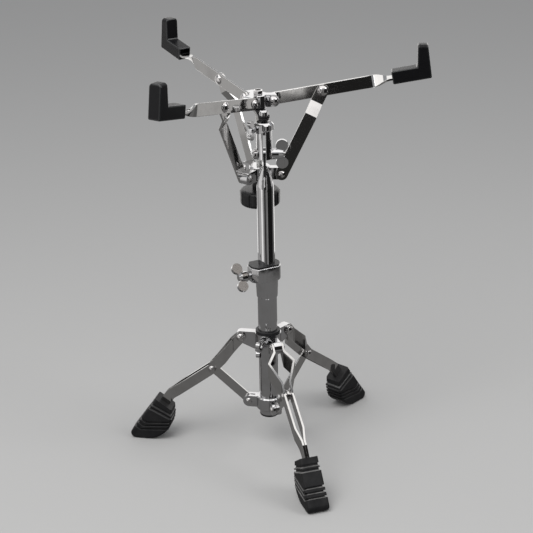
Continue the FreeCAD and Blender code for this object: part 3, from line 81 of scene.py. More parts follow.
# Marks on plating: soft finger smudges and fine upright scratches that dull the mirror, and a slow
# ripple left by the polishing wheel.
plating_marks, marks_in, marks_out = new_group(
    "plating_marks",
    [
        ("Clean", "NodeSocketColor", (0.6, 0.6, 0.61, 1)),
        ("Dull", "NodeSocketColor", (0.4, 0.4, 0.4, 1)),
        ("Polish", "NodeSocketFloat", 0.05),
        ("Haze", "NodeSocketFloat", 0.1),
        ("Ripple", "NodeSocketFloat", 0.1),
    ],
    [("Color", "NodeSocketColor"), ("Roughness", "NodeSocketFloat"), ("Normal", "NodeSocketVector")],
)
tree = plating_marks
links = tree.links
place_node = tree.nodes.new("ShaderNodeTexCoord")
smudge = tree.nodes.new("ShaderNodeTexNoise")
smudge.inputs["Scale"].default_value = SMUDGE_SCALE
smudge.inputs["Detail"].default_value = 6
smudge.inputs["Roughness"].default_value = 0.62
links.new(place_node.outputs["Object"], smudge.inputs["Vector"])
smudge_mask = tree.nodes.new("ShaderNodeMapRange")
smudge_mask.inputs["From Min"].default_value = 0.46
smudge_mask.inputs["From Max"].default_value = 0.74
links.new(smudge.outputs["Fac"], smudge_mask.inputs["Value"])
stretch = tree.nodes.new("ShaderNodeMapping")
stretch.inputs["Scale"].default_value = SCRATCH_SCALE
links.new(place_node.outputs["Object"], stretch.inputs["Vector"])
scratch = tree.nodes.new("ShaderNodeTexNoise")
scratch.inputs["Scale"].default_value = 1
scratch.inputs["Detail"].default_value = 2
links.new(stretch.outputs["Vector"], scratch.inputs["Vector"])
scratch_mask = tree.nodes.new("ShaderNodeMapRange")
scratch_mask.inputs["From Min"].default_value = 0.6
scratch_mask.inputs["From Max"].default_value = 0.8
links.new(scratch.outputs["Fac"], scratch_mask.inputs["Value"])
wear = tree.nodes.new("ShaderNodeMath")
wear.operation = "MAXIMUM"
links.new(smudge_mask.outputs["Result"], wear.inputs[0])
links.new(scratch_mask.outputs["Result"], wear.inputs[1])
blur = tree.nodes.new("ShaderNodeMath")
blur.operation = "MULTIPLY_ADD"
links.new(wear.outputs["Value"], blur.inputs[0])
links.new(marks_in.outputs["Haze"], blur.inputs[1])
links.new(marks_in.outputs["Polish"], blur.inputs[2])
links.new(blur.outputs["Value"], marks_out.inputs["Roughness"])
tone = tree.nodes.new("ShaderNodeMix")
tone.data_type = "RGBA"
links.new(wear.outputs["Value"], tone.inputs["Factor"])
links.new(marks_in.outputs["Clean"], tone.inputs[MIX_FIRST])
links.new(marks_in.outputs["Dull"], tone.inputs[MIX_SECOND])
links.new(tone.outputs[MIX_RESULT], marks_out.inputs["Color"])
wave = tree.nodes.new("ShaderNodeTexNoise")
wave.inputs["Scale"].default_value = RIPPLE_SCALE
wave.inputs["Detail"].default_value = 1
links.new(place_node.outputs["Object"], wave.inputs["Vector"])
swell = tree.nodes.new("ShaderNodeBump")
swell.inputs["Distance"].default_value = RIPPLE_HEIGHT
links.new(marks_in.outputs["Ripple"], swell.inputs["Strength"])
links.new(wave.outputs["Fac"], swell.inputs["Height"])
links.new(swell.outputs["Normal"], marks_out.inputs["Normal"])


def plated(name, clean, dull, polish, haze, ripple):
    """Chromium or zinc plate with its own polish and marks."""
    material = bpy.data.materials.new(name)
    material.use_nodes = True
    shader = material.node_tree.nodes["Principled BSDF"]
    shader.inputs["Metallic"].default_value = 1
    marks = material.node_tree.nodes.new("ShaderNodeGroup")
    marks.node_tree = plating_marks
    marks.inputs["Clean"].default_value = (*clean, 1)
    marks.inputs["Dull"].default_value = (*dull, 1)
    marks.inputs["Polish"].default_value = polish
    marks.inputs["Haze"].default_value = haze
    marks.inputs["Ripple"].default_value = ripple
    material.node_tree.links.new(marks.outputs["Color"], shader.inputs["Base Color"])
    material.node_tree.links.new(marks.outputs["Roughness"], shader.inputs["Roughness"])
    material.node_tree.links.new(marks.outputs["Normal"], shader.inputs["Normal"])
    return material


def stand_for(name, mesh, finish):
    """Put a mesh in a solid's place, in its finish, on the solid's body."""
    mesh.shade_smooth()
    mesh.materials.append(finish)
    piece = bpy.data.objects.new(mesh.name, mesh)
    bpy.context.scene.collection.objects.link(piece)
    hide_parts(name)
    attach(piece, body_of[name])
    return piece


def dress(name, finish, edge):
    """Copy of a solid in its place, with its sharp edges rolled as far as roll_edges can."""
    rolled = bmesh.new()
    rolled.from_mesh(nodes[name].data)
    bmesh.ops.remove_doubles(rolled, verts=rolled.verts, dist=WELD_DISTANCE)
    bmesh.ops.dissolve_limit(rolled, angle_limit=FLAT_ANGLE, verts=rolled.verts, edges=rolled.edges)
    mesh = bpy.data.meshes.new(f"{name}_finished")
    rolled.to_mesh(mesh)
    rolled.free()
    piece = stand_for(name, mesh, finish)
    roll_edges(piece, edge)
    return piece


def keep_flat(piece):
    """Shade the faces of a piece flat right up to its round edges."""
    flat = piece.modifiers.new("flat_faces", "WEIGHTED_NORMAL")
    flat.keep_sharp = True


def roll_edges(piece, edge):
    """Round the corners of a piece and keep its faces flat.

    The edge is the most that a corner is rounded. The modifier stays under it where short edges meet,
    so castings, wing screws and other pieces with small details come out nearly as sharp as the solids.
    """
    roll = piece.modifiers.new("rolled_edges", "BEVEL")
    roll.width = edge
    roll.segments = EDGE_STEPS
    roll.limit_method = "ANGLE"
    roll.angle_limit = CORNER_ANGLE
    roll.harden_normals = True
    keep_flat(piece)


TUBE_EDGE = 0.35 * MILLIMETRE
tube_chrome = plated(
    "tube_chrome", clean=(0.56, 0.56, 0.57), dull=(0.47, 0.47, 0.47),
    polish=0.04, haze=0.09, ripple=0.015,
)
dress("base_tube", tube_chrome, TUBE_EDGE)

# Base plug: a black nylon plug pressed into the lower end of the base tube.
# Moulded with a flange that covers the cut edge of the tube.
DUST_MATTNESS = 0.35
BLOTCH_SCALE = 60
GRAIN_SCALE = 1400
GRAIN_HEIGHT = 0.1 * MILLIMETRE
moulded_grain, grain_in, grain_out = new_group(
    "moulded_grain",
    [
        ("Black", "NodeSocketColor", (0.02, 0.02, 0.02, 1)),
        ("Dust", "NodeSocketColor", (0.2, 0.19, 0.18, 1)),
        ("Dust Amount", "NodeSocketFloat", 0.3),
        ("Gloss", "NodeSocketFloat", 0.5),
        ("Grain Depth", "NodeSocketFloat", 0.2),
    ],
    [("Color", "NodeSocketColor"), ("Roughness", "NodeSocketFloat"), ("Normal", "NodeSocketVector")],
)
tree = moulded_grain
links = tree.links
place_node = tree.nodes.new("ShaderNodeTexCoord")
blotch = tree.nodes.new("ShaderNodeTexNoise")
blotch.inputs["Scale"].default_value = BLOTCH_SCALE
blotch.inputs["Detail"].default_value = 7
blotch.inputs["Roughness"].default_value = 0.7
links.new(place_node.outputs["Object"], blotch.inputs["Vector"])
surface = tree.nodes.new("ShaderNodeNewGeometry")
upward = tree.nodes.new("ShaderNodeSeparateXYZ")
links.new(surface.outputs["Normal"], upward.inputs["Vector"])
settle = tree.nodes.new("ShaderNodeMapRange")
settle.inputs["From Min"].default_value = -0.4
settle.inputs["From Max"].default_value = 1
settle.inputs["To Min"].default_value = 0.25
links.new(upward.outputs["Z"], settle.inputs["Value"])
patchy = tree.nodes.new("ShaderNodeMapRange")
patchy.inputs["From Min"].default_value = 0.35
patchy.inputs["From Max"].default_value = 0.75
links.new(blotch.outputs["Fac"], patchy.inputs["Value"])
dusty = tree.nodes.new("ShaderNodeMath")
dusty.operation = "MULTIPLY"
links.new(settle.outputs["Result"], dusty.inputs[0])
links.new(patchy.outputs["Result"], dusty.inputs[1])
dust_mask = tree.nodes.new("ShaderNodeMath")
dust_mask.operation = "MULTIPLY"
links.new(dusty.outputs["Value"], dust_mask.inputs[0])
links.new(grain_in.outputs["Dust Amount"], dust_mask.inputs[1])
shade = tree.nodes.new("ShaderNodeMix")
shade.data_type = "RGBA"
links.new(dust_mask.outputs["Value"], shade.inputs["Factor"])
links.new(grain_in.outputs["Black"], shade.inputs[MIX_FIRST])
links.new(grain_in.outputs["Dust"], shade.inputs[MIX_SECOND])
links.new(shade.outputs[MIX_RESULT], grain_out.inputs["Color"])
matt = tree.nodes.new("ShaderNodeMath")
matt.operation = "MULTIPLY_ADD"
matt.inputs[1].default_value = DUST_MATTNESS
links.new(dust_mask.outputs["Value"], matt.inputs[0])
links.new(grain_in.outputs["Gloss"], matt.inputs[2])
links.new(matt.outputs["Value"], grain_out.inputs["Roughness"])
pebble = tree.nodes.new("ShaderNodeTexNoise")
pebble.inputs["Scale"].default_value = GRAIN_SCALE
pebble.inputs["Detail"].default_value = 2
links.new(place_node.outputs["Object"], pebble.inputs["Vector"])
grain = tree.nodes.new("ShaderNodeBump")
grain.inputs["Distance"].default_value = GRAIN_HEIGHT
links.new(grain_in.outputs["Grain Depth"], grain.inputs["Strength"])
links.new(pebble.outputs["Fac"], grain.inputs["Height"])
links.new(grain.outputs["Normal"], grain_out.inputs["Normal"])


def moulded(name, black, dust, dust_amount, gloss, grain_depth, shine=0.25):
    """Black rubber, nylon or paint with its own gloss, grain and dust."""
    material = bpy.data.materials.new(name)
    material.use_nodes = True
    shader = material.node_tree.nodes["Principled BSDF"]
    shader.inputs["Specular IOR Level"].default_value = shine
    skin = material.node_tree.nodes.new("ShaderNodeGroup")
    skin.node_tree = moulded_grain
    skin.inputs["Black"].default_value = (*black, 1)
    skin.inputs["Dust"].default_value = (*dust, 1)
    skin.inputs["Dust Amount"].default_value = dust_amount
    skin.inputs["Gloss"].default_value = gloss
    skin.inputs["Grain Depth"].default_value = grain_depth
    material.node_tree.links.new(skin.outputs["Color"], shader.inputs["Base Color"])
    material.node_tree.links.new(skin.outputs["Roughness"], shader.inputs["Roughness"])
    material.node_tree.links.new(skin.outputs["Normal"], shader.inputs["Normal"])
    return material


NYLON_EDGE = 0.4 * MILLIMETRE
black_nylon = moulded(
    "black_nylon", black=(0.012, 0.012, 0.013), dust=(0.10, 0.10, 0.10),
    dust_amount=0.15, gloss=0.38, grain_depth=0.05,
)
dress("base_plug", black_nylon, NYLON_EDGE)

# Brace hub: a zinc casting with three forked lugs, plated and pressed on the foot of the base tube.
# A domed rivet through each fork is the pivot of a leg brace.
CASTING_EDGE = 0.9 * MILLIMETRE
RIVET_EDGE = 0.25 * MILLIMETRE
casting_chrome = plated(
    "casting_chrome", clean=(0.57, 0.57, 0.58), dull=(0.47, 0.47, 0.47),
    polish=0.04, haze=0.09, ripple=0.10,
)
rivet_chrome = plated(
    "rivet_chrome", clean=(0.58, 0.57, 0.57), dull=(0.45, 0.44, 0.44),
    polish=0.05, haze=0.10, ripple=0.05,
)
dress("brace_hub", casting_chrome, CASTING_EDGE)
dress("brace_hub_rivets", rivet_chrome, RIVET_EDGE)

# Leg hub: a plated casting that slides on the base tube and carries the three leg pivots.
# A black rubber ring lies on it, and a small wing screw in its front boss clamps it.
WING_EDGE = 1.1 * MILLIMETRE
black_rubber = moulded(
    "black_rubber", black=(0.009, 0.009, 0.010), dust=(0.10, 0.10, 0.10),
    dust_amount=0.12, gloss=0.42, grain_depth=0.2,
)
dress("leg_hub", casting_chrome, CASTING_EDGE)
dress("leg_hub_ring", black_rubber, NYLON_EDGE)
dress("leg_hub_pivots", rivet_chrome, RIVET_EDGE)
dress("leg_hub_wing_screw", casting_chrome, WING_EDGE)

# Legs: each is a pair of bent steel strips, plated after bending, with a rivet and a flat brace bar.
# The strips bow apart round the hub and close up in the rubber foot.
# The brace's upper eye is opened a little, so that its rivet stays clear of it when the legs fold.
STRIP_EDGE = 0.5 * MILLIMETRE
EYE_REACH = 5.5 * MILLIMETRE
EYE_RELIEF = 0.25 * MILLIMETRE
LEGS = ("left", "front", "right")
strip_chrome = plated(
    "strip_chrome", clean=(0.53, 0.525, 0.52), dull=(0.46, 0.455, 0.45),
    polish=0.06, haze=0.08, ripple=0.03,
)
joint_of = {joint["name"]: joint for joint in frame["record"]["behaviour"]["joints"]}


def off_axis(point, middle, axis):
    """The part of a point's distance from an axis that is square to it."""
    offset = point - middle
    return offset - axis * offset.dot(axis)


for leg in LEGS:
    dress(f"leg_{leg}_strip_a", strip_chrome, STRIP_EDGE)
    dress(f"leg_{leg}_strip_b", strip_chrome, STRIP_EDGE)
    dress(f"leg_{leg}_rivet", rivet_chrome, RIVET_EDGE)
    brace = dress(f"leg_{leg}_brace", strip_chrome, STRIP_EDGE)
    rivet_points = [vertex.co for vertex in nodes[f"leg_{leg}_rivet"].data.vertices]
    rivet_middle = sum(rivet_points, Vector()) / len(rivet_points)
    hinge_axis = Vector(joint_of[f"leg_{leg}_hinge"]["axis"])
    for vertex in brace.data.vertices:
        reach = off_axis(vertex.co, rivet_middle, hinge_axis)
        if reach.length < EYE_REACH:
            vertex.co += EYE_RELIEF * reach.normalized()

# Rubber feet: ribbed black shoes moulded over the ends of the strips.
# The ribs slope outwards on top, and their upward walls are painted lighter, a painted highlight that is
# strongest on the front foot.
RIB_EDGE = 0.7 * MILLIMETRE
RIB_FALL = 1.3 * MILLIMETRE
RIB_RISE = 0.6
RIB_ANGLE = radians(50)
SECOND_FINISH = 1
foot_rubber = moulded(
    "foot_rubber", black=(0.009, 0.009, 0.010), dust=(0.15, 0.145, 0.14),
    dust_amount=0.14, gloss=0.50, grain_depth=0.3, shine=0.2,
)
# Lighter finishes for the upward rib walls: painted highlights, faint on the side feet and strong on the
# front foot.
faint_painted_highlight = moulded(
    "faint_painted_highlight", black=(0.030, 0.030, 0.031), dust=(0.16, 0.155, 0.15),
    dust_amount=0.3, gloss=0.36, grain_depth=0.2, shine=0.5,
)
strong_painted_highlight = moulded(
    "strong_painted_highlight", black=(0.12, 0.118, 0.115), dust=(0.5, 0.49, 0.48),
    dust_amount=0.55, gloss=0.36, grain_depth=0.2, shine=0.5,
)
for leg, highlight_finish in zip(LEGS, (faint_painted_highlight, strong_painted_highlight, faint_painted_highlight)):
    foot = dress(f"leg_{leg}_foot", foot_rubber, RIB_EDGE)
    foot.data.materials.append(highlight_finish)
    ribs = bmesh.new()
    ribs.from_mesh(foot.data)
    falls = {}
    for wall in ribs.faces:
        if wall.normal.z < RIB_RISE:
            continue
        sharp = [edge for edge in wall.edges if edge.is_manifold and edge.calc_face_angle() > RIB_ANGLE]
        outer = [edge for edge in sharp if edge.is_convex]
        if len(outer) == len(sharp):
            continue
        # Upward rib walls take the lighter finish: a painted highlight.
        wall.material_index = SECOND_FINISH
        for edge in outer:
            for vertex in edge.verts:
                falls.setdefault(vertex, []).append(wall.normal)
    for vertex, normals in falls.items():
        vertex.co -= RIB_FALL * sum(normals, Vector()) / len(normals)
    ribs.to_mesh(foot.data)
    ribs.free()

# Height clamp: a plated cast sleeve over the top of the base tube, lined with a dark nylon bush.
# Its large wing screw bears on the upper tube, and the flats of its wings are painted dark, a painted
# shade in place of a dim reflection.
FLATS_REACH = 6 * MILLIMETRE
FLATS_LEAN = cos(radians(35))
# Much darker chrome for the flats of the wings: painted shade.
painted_shade_chrome = plated(
    "painted_shade_chrome", clean=(0.165, 0.155, 0.148), dull=(0.12, 0.112, 0.106),
    polish=0.16, haze=0.3, ripple=0.1,
)
dress("height_clamp", casting_chrome, CASTING_EDGE)
dress("height_clamp_bush", black_nylon, NYLON_EDGE)
wing_screw = dress("height_wing_screw", casting_chrome, WING_EDGE)
wing_screw.data.materials.append(painted_shade_chrome)
screw_axis = Vector(joint_of["height_screw_turn"]["axis"])
screw_place = Vector(joint_of["height_screw_turn"]["pos_m"])
reaches = [off_axis(vertex.co, screw_place, screw_axis) for vertex in wing_screw.data.vertices]
wing_side = screw_axis.cross(max(reaches, key=lambda reach: reach.length)).normalized()
# The flats of the wings take the darker finish, the painted shade.
for face in wing_screw.data.polygons:
    reach = off_axis(face.center, screw_place, screw_axis)
    if reach.length > FLATS_REACH and abs(face.normal.dot(wing_side)) > FLATS_LEAN:
        face.material_index = SECOND_FINISH

# Upper tube: the thinner plated tube, drawn to a point at the top round a flat blade.
# It slides in the base tube and carries the tilter.
dress("upper_tube", tube_chrome, TUBE_EDGE)

# Tilter: a turned and plated fork clamped on the blade by a bolt and a wing nut.
# Two washers lie under the bolt head and the nut.
TURNED_EDGE = 0.4 * MILLIMETRE
dress("tilter_body", casting_chrome, TURNED_EDGE)
dress("tilt_washers", rivet_chrome, RIVET_EDGE)
dress("tilt_bolt", rivet_chrome, RIVET_EDGE)
dress("tilt_wing_nut", casting_chrome, WING_EDGE)

# Crown: a fluted plated collar on the stem, with a small wing screw that stops the swivel.
# The stem cap above holds the bracket down.
dress("tilter_crown", casting_chrome, TURNED_EDGE)
dress("crown_wing_screw", casting_chrome, WING_EDGE)
dress("stem_cap", casting_chrome, TURNED_EDGE)

# Offset bracket: a black coated casting from the stem back to the basket axis.
# Its boss tapers towards the crown.
black_paint = moulded(
    "black_paint", black=(0.006, 0.006, 0.007), dust=(0.08, 0.08, 0.08),
    dust_amount=0.08, gloss=0.32, grain_depth=0.05,
)
dress("basket_bracket", black_paint, CASTING_EDGE)

# Basket hubs: two plated castings with a lug for each arm or brace and domed rivets through them.
# The upper one is fixed to the bracket and the lower one slides on the rod.
dress("basket_upper_hub", casting_chrome, CASTING_EDGE)
dress("basket_arm_bolts", rivet_chrome, RIVET_EDGE)
dress("basket_lower_hub", casting_chrome, CASTING_EDGE)
dress("basket_lower_rivets", rivet_chrome, RIVET_EDGE)

# Rod: a zinc-plated steel rod with a rolled two-start thread, so that one turn of the knob moves 4 mm.
# It hangs in the upper hub from a plated hexagon nut on its top end.
THREAD_PITCH = 2 * MILLIMETRE
THREAD_STARTS = 2
THREAD_DEPTH = 0.62 * MILLIMETRE
THREAD_SIDES = 24
THREAD_STEP = 0.4 * MILLIMETRE
NUT_SIDES = 6
rod_zinc = plated(
    "rod_zinc", clean=(0.50, 0.50, 0.49), dull=(0.36, 0.36, 0.34),
    polish=0.16, haze=0.14, ripple=0.0,
)
rod_low, rod_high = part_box("basket_rod")
rod_centre = (rod_low + rod_high) / 2
rod_radius = (rod_high.x - rod_low.x) / 2
ring_count = round((rod_high.z - rod_low.z) / THREAD_STEP)
thread_points = []
for ring in range(ring_count + 1):
    height = rod_low.z + (rod_high.z - rod_low.z) * ring / ring_count
    for side in range(THREAD_SIDES):
        share = (height / THREAD_PITCH + THREAD_STARTS * side / THREAD_SIDES) % 1
        crest = abs(2 * share - 1)
        radius = rod_radius - THREAD_DEPTH * (1 - crest)
        angle = tau * side / THREAD_SIDES
        x = rod_centre.x + radius * cos(angle)
        y = rod_centre.y + radius * sin(angle)
        thread_points.append((x, y, height))
thread_faces = [
    tuple(range(THREAD_SIDES))[::-1],
    tuple(range(ring_count * THREAD_SIDES, (ring_count + 1) * THREAD_SIDES)),
]
for ring in range(ring_count):
    low = ring * THREAD_SIDES
    high = low + THREAD_SIDES
    for side in range(THREAD_SIDES):
        after = (side + 1) % THREAD_SIDES
        thread_faces.append((low + side, low + after, high + after, high + side))
thread_mesh = bpy.data.meshes.new("basket_rod_thread")
thread_mesh.from_pydata(thread_points, [], thread_faces)
stand_for("basket_rod", thread_mesh, rod_zinc)
nut_low, nut_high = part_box("basket_rod_nut")
nut_radius = (nut_high.x - nut_low.x) / 2
hexagon = bmesh.new()
bmesh.ops.create_cone(
    hexagon, cap_ends=True, segments=NUT_SIDES, radius1=nut_radius, radius2=nut_radius,
    depth=nut_high.z - nut_low.z, matrix=Matrix.Translation((nut_low + nut_high) / 2),
)
nut_mesh = bpy.data.meshes.new("basket_rod_hexagon_nut")
hexagon.to_mesh(nut_mesh)
hexagon.free()
roll_edges(stand_for("basket_rod_nut", nut_mesh, rivet_chrome), STRIP_EDGE)

# Closing knob: a fluted black nylon wheel with a moulded-in nut.
# It runs on the rod and pushes the lower hub up to close the basket.
KNOB_EDGE = 0.8 * MILLIMETRE
knob_nylon = moulded(
    "knob_nylon", black=(0.006, 0.006, 0.007), dust=(0.08, 0.08, 0.08),
    dust_amount=0.08, gloss=0.32, grain_depth=0.06,
)
dress("basket_knob", knob_nylon, KNOB_EDGE)

# Basket arms: plated flat strips, round at the pivot, twisted a quarter turn to lie flat in the tips.
# They are twisted cold before plating: the upper edge comes over to the strip's left.
ARM_SLOPE = radians(10)
TWIST_START = 118 * MILLIMETRE
TWIST_LENGTH = 32 * MILLIMETRE
TWIST_STEPS = 24
END_STEPS = 8
QUARTER_TURN = radians(90)
STRIP_SIDES = 4
UP = Vector((0, 0, 1))
ARMS = ("left", "back", "right")


def arm_place(arm):
    """Place of an arm: x outwards along the strip from its pivot, y to the left, z up across it."""
    hinge = joint_of[f"arm_{arm}_hinge"]
    left = -Vector(hinge["axis"])
    along = left.cross(UP) * cos(ARM_SLOPE) + UP * sin(ARM_SLOPE)
    across = along.cross(left)
    place = Matrix((along, left, across)).transposed().to_4x4()
    place.translation = Vector(hinge["pos_m"])
    return place


def points_from(name, place):
    """Points of a solid, seen from a place on it."""
    inward = place.inverted()
    return [inward @ vertex.co for vertex in nodes[name].data.vertices]


def strip_section(distance, half_thick, half_wide, turn):
    """Four corners of a flat strip at one distance, turned about its middle line."""
    corners = []
    for thick, wide in ((-1, -1), (1, -1), (1, 1), (-1, 1)):
        left = half_thick * thick
        up = half_wide * wide
        corners.append(Vector((
            distance, left * cos(turn) + up * sin(turn), up * cos(turn) - left * sin(turn),
        )))
    return corners


for arm in ARMS:
    place = arm_place(arm)
    solid = points_from(f"arm_{arm}", place)
    flat = [point for point in solid if point.x < TWIST_START / 2]
    left_side = max(point.y for point in flat)
    right_side = min(point.y for point in flat)
    half_thick = (left_side - right_side) / 2
    half_wide = max(point.z for point in flat)
    sections = []
    for step in range(1, END_STEPS + 1):
        angle = QUARTER_TURN * step / END_STEPS
        sections.append(strip_section(-half_wide * cos(angle), half_thick, half_wide * sin(angle), 0))
    for step in range(TWIST_STEPS + 1):
        share = step / TWIST_STEPS
        turn = QUARTER_TURN * share * share * (3 - 2 * share)
        sections.append(strip_section(TWIST_START + TWIST_LENGTH * share, half_thick, half_wide, turn))
    far_end = max(point.x for point in solid)
    sections.append(strip_section(far_end, half_thick, half_wide, QUARTER_TURN))
    middle = Vector((0, (left_side + right_side) / 2, 0))
    corners = [place @ (corner + middle) for section in sections for corner in section]
    faces = [
        tuple(range(STRIP_SIDES))[::-1],
        tuple(range(len(corners) - STRIP_SIDES, len(corners))),
    ]
    for low in range(0, len(corners) - STRIP_SIDES, STRIP_SIDES):
        high = low + STRIP_SIDES
        for side in range(STRIP_SIDES):
            after = (side + 1) % STRIP_SIDES
            faces.append((low + side, low + after, high + after, high + side))
    arm_mesh = bpy.data.meshes.new(f"arm_{arm}_strip")
    arm_mesh.from_pydata(corners, [], faces)
    roll_edges(stand_for(f"arm_{arm}", arm_mesh, strip_chrome), STRIP_EDGE)

# Basket braces: flat strips set over at the top to lie beside their arms.
# A large domed rivet joins each brace to its arm.
for arm in ARMS:
    dress(f"arm_{arm}_brace", strip_chrome, STRIP_EDGE)
    dress(f"arm_{arm}_rivet", rivet_chrome, RIVET_EDGE)

# Rubber tips: black L-shaped mouldings with round edges, hollow at the mouth, pushed over the arms.
# Their plumb uprights grip the drum's lower hoop from outside and their pads carry it.
# The round edges are painted a little lighter and glossier, a painted highlight along them.
TIP_EDGE = 1.7 * MILLIMETRE
TIP_EDGE_STEPS = 4
CROWN_ROUND = 4.5 * MILLIMETRE
CROWN_STEPS = 6
CROWN_CORNERS = slice(2, 4)
ROUND_PROFILE = 0.5
UPRIGHT_TOP = 13 * MILLIMETRE
UPRIGHT_BOTTOM = 16 * MILLIMETRE
PAD_HEIGHT = 10 * MILLIMETRE
MOUTH_WALL = 0.8 * MILLIMETRE
MOUTH_SILL = 2 * MILLIMETRE
MOUTH_DEPTH = 8 * MILLIMETRE
MOULD_ANGLE = radians(40)
ORDER_AXIS = Vector((1, 0.41, 0.17))
tip_rubber = moulded(
    "tip_rubber", black=(0.004, 0.004, 0.005), dust=(0.06, 0.06, 0.06),
    dust_amount=0.06, gloss=0.34, grain_depth=0.2, shine=0.15,
)
# Lighter rubber for the round edges: a painted highlight.
painted_edge_highlight = moulded(
    "painted_edge_highlight", black=(0.007, 0.008, 0.009), dust=(0.10, 0.10, 0.10),
    dust_amount=0.12, gloss=0.24, grain_depth=0.1, shine=0.5,
)
for arm in ARMS:
    place = arm_place(arm)
    solid = points_from(f"arm_{arm}_tip", place)
    near_end = min(point.x for point in solid)
    far_end = max(point.x for point in solid if point.z < 0)
    sole = min(point.z for point in solid)
    top = max(point.z for point in solid)
    left_side = max(point.y for point in solid)
    right_side = min(point.y for point in solid)
    inner = far_end - UPRIGHT_BOTTOM
    rise = (top - PAD_HEIGHT) / cos(ARM_SLOPE)
    crown_in = inner + rise * sin(ARM_SLOPE)
    crown_out = crown_in + UPRIGHT_TOP * cos(ARM_SLOPE)
    outline = [
        (near_end, sole), (far_end, sole),
        (crown_out, top - UPRIGHT_TOP * sin(ARM_SLOPE)), (crown_in, top),
        (inner, PAD_HEIGHT), (near_end, PAD_HEIGHT),
    ]
    moulding = bmesh.new()
    right_ring = [moulding.verts.new((x, right_side, z)) for x, z in outline]
    left_ring = [moulding.verts.new((x, left_side, z)) for x, z in outline]
    moulding.faces.new(right_ring)
    moulding.faces.new(left_ring[::-1])
    for after in range(len(outline)):
        before = after - 1
        moulding.faces.new((right_ring[before], left_ring[before], left_ring[after], right_ring[after]))
    crown_edges = [moulding.edges.get(ring[CROWN_CORNERS]) for ring in (right_ring, left_ring)]
    bmesh.ops.recalc_face_normals(moulding, faces=moulding.faces)
    bmesh.ops.bevel(
        moulding, geom=crown_edges, offset=CROWN_ROUND, segments=CROWN_STEPS,
        profile=ROUND_PROFILE, affect="EDGES",
    )
    sharp_edges = [edge for edge in moulding.edges if edge.calc_face_angle() > MOULD_ANGLE]
    # The round edges take the second finish, the painted highlight.
    bmesh.ops.bevel(
        moulding, geom=sharp_edges, offset=TIP_EDGE, segments=TIP_EDGE_STEPS,
        profile=ROUND_PROFILE, affect="EDGES", material=SECOND_FINISH,
    )
    mouth = min(moulding.faces, key=lambda face: face.calc_center_median().x)
    bmesh.ops.inset_individual(moulding, faces=[mouth], thickness=MOUTH_WALL)
    for vertex in mouth.verts:
        vertex.co.z = max(vertex.co.z, MOUTH_SILL)
    hollow = bmesh.ops.extrude_discrete_faces(moulding, faces=[mouth])["faces"][0]
    for vertex in hollow.verts:
        vertex.co.x += MOUTH_DEPTH
    # The bevels leave points and faces in chance order: sorted, every run writes the same mesh.
    moulding.verts.sort(key=lambda vertex: vertex.co.dot(ORDER_AXIS))
    moulding.faces.sort(key=lambda face: face.calc_center_median().dot(ORDER_AXIS))
    moulding.transform(place)
    tip_mesh = bpy.data.meshes.new(f"arm_{arm}_rubber_tip")
    moulding.to_mesh(tip_mesh)
    moulding.free()
    tip = stand_for(f"arm_{arm}_tip", tip_mesh, tip_rubber)
    tip_mesh.materials.append(painted_edge_highlight)
    tip_mesh.set_sharp_from_angle(angle=MOULD_ANGLE)
    keep_flat(tip)

# Studio: a plain pale floor, a soft overhead light, and tall cards round the stand that only its
# bright metal sees, as a photographer sets them to draw bands on chrome.
FLOOR_HALF = 8.0
FLOOR_COLOUR = (0.52, 0.515, 0.505, 1)
FLOOR_ROUGHNESS = 0.75
floor_mesh = bpy.data.meshes.new("floor")
floor_mesh.from_pydata(
    [
        (-FLOOR_HALF, -FLOOR_HALF, 0), (FLOOR_HALF, -FLOOR_HALF, 0),
        (FLOOR_HALF, FLOOR_HALF, 0), (-FLOOR_HALF, FLOOR_HALF, 0),
    ],
    [], [(0, 1, 2, 3)],
)
floor_paint = bpy.data.materials.new("floor_paint")
floor_paint.use_nodes = True
floor_shader = floor_paint.node_tree.nodes["Principled BSDF"]
floor_shader.inputs["Base Color"].default_value = FLOOR_COLOUR
floor_shader.inputs["Roughness"].default_value = FLOOR_ROUGHNESS
floor_shader.inputs["Specular IOR Level"].default_value = 0
floor_mesh.materials.append(floor_paint)
floor = bpy.data.objects.new("floor", floor_mesh)
bpy.context.scene.collection.objects.link(floor)

CARD_BLACK = (0, 0, 0, 1)
CARD_GLOW = (1, 0.985, 0.97, 1)
CARD_DISTANCE = 0.65
CARD_STEPS = 12
CARD_FOOT = 0.003
WALL_FOOT = 0.03
CARD_SPLIT = 0.24
GAP_SPLIT = 0.29
CARD_TOP = 0.75
FRONT = radians(-90)


def reflector(name, corners, faces, brightness):
    """Glowing card that lights nothing and is seen only in reflections."""
    mesh = bpy.data.meshes.new(name)
    mesh.from_pydata(corners, [], faces)
    paper = bpy.data.materials.new(name)
    paper.use_nodes = True
    shader = paper.node_tree.nodes["Principled BSDF"]
    shader.inputs["Base Color"].default_value = CARD_BLACK
    shader.inputs["Specular IOR Level"].default_value = 0
    shader.inputs["Emission Color"].default_value = CARD_GLOW
    shader.inputs["Emission Strength"].default_value = brightness
    mesh.materials.append(paper)
    card = bpy.data.objects.new(name, mesh)
    bpy.context.scene.collection.objects.link(card)
    card.visible_camera = False
    card.visible_diffuse = False
    card.visible_shadow = False


def upright(name, start, end, foot, top, brightness):
    """Upright curved card between two bearings from the front, positive to the right."""
    corners = []
    for step in range(CARD_STEPS + 1):
        bearing = FRONT + radians(start + (end - start) * step / CARD_STEPS)
        for height in (foot, top):
            corners.append((CARD_DISTANCE * cos(bearing), CARD_DISTANCE * sin(bearing), height))
    faces = [(2 * step, 2 * step + 2, 2 * step + 3, 2 * step + 1) for step in range(CARD_STEPS)]
    reflector(name, corners, faces, brightness)


def level(name, half, height, brightness):
    """Level square card about the column axis."""
    corners = [(-half, -half, height), (half, -half, height), (half, half, height), (-half, half, height)]
    reflector(name, corners, [(0, 1, 2, 3)], brightness)


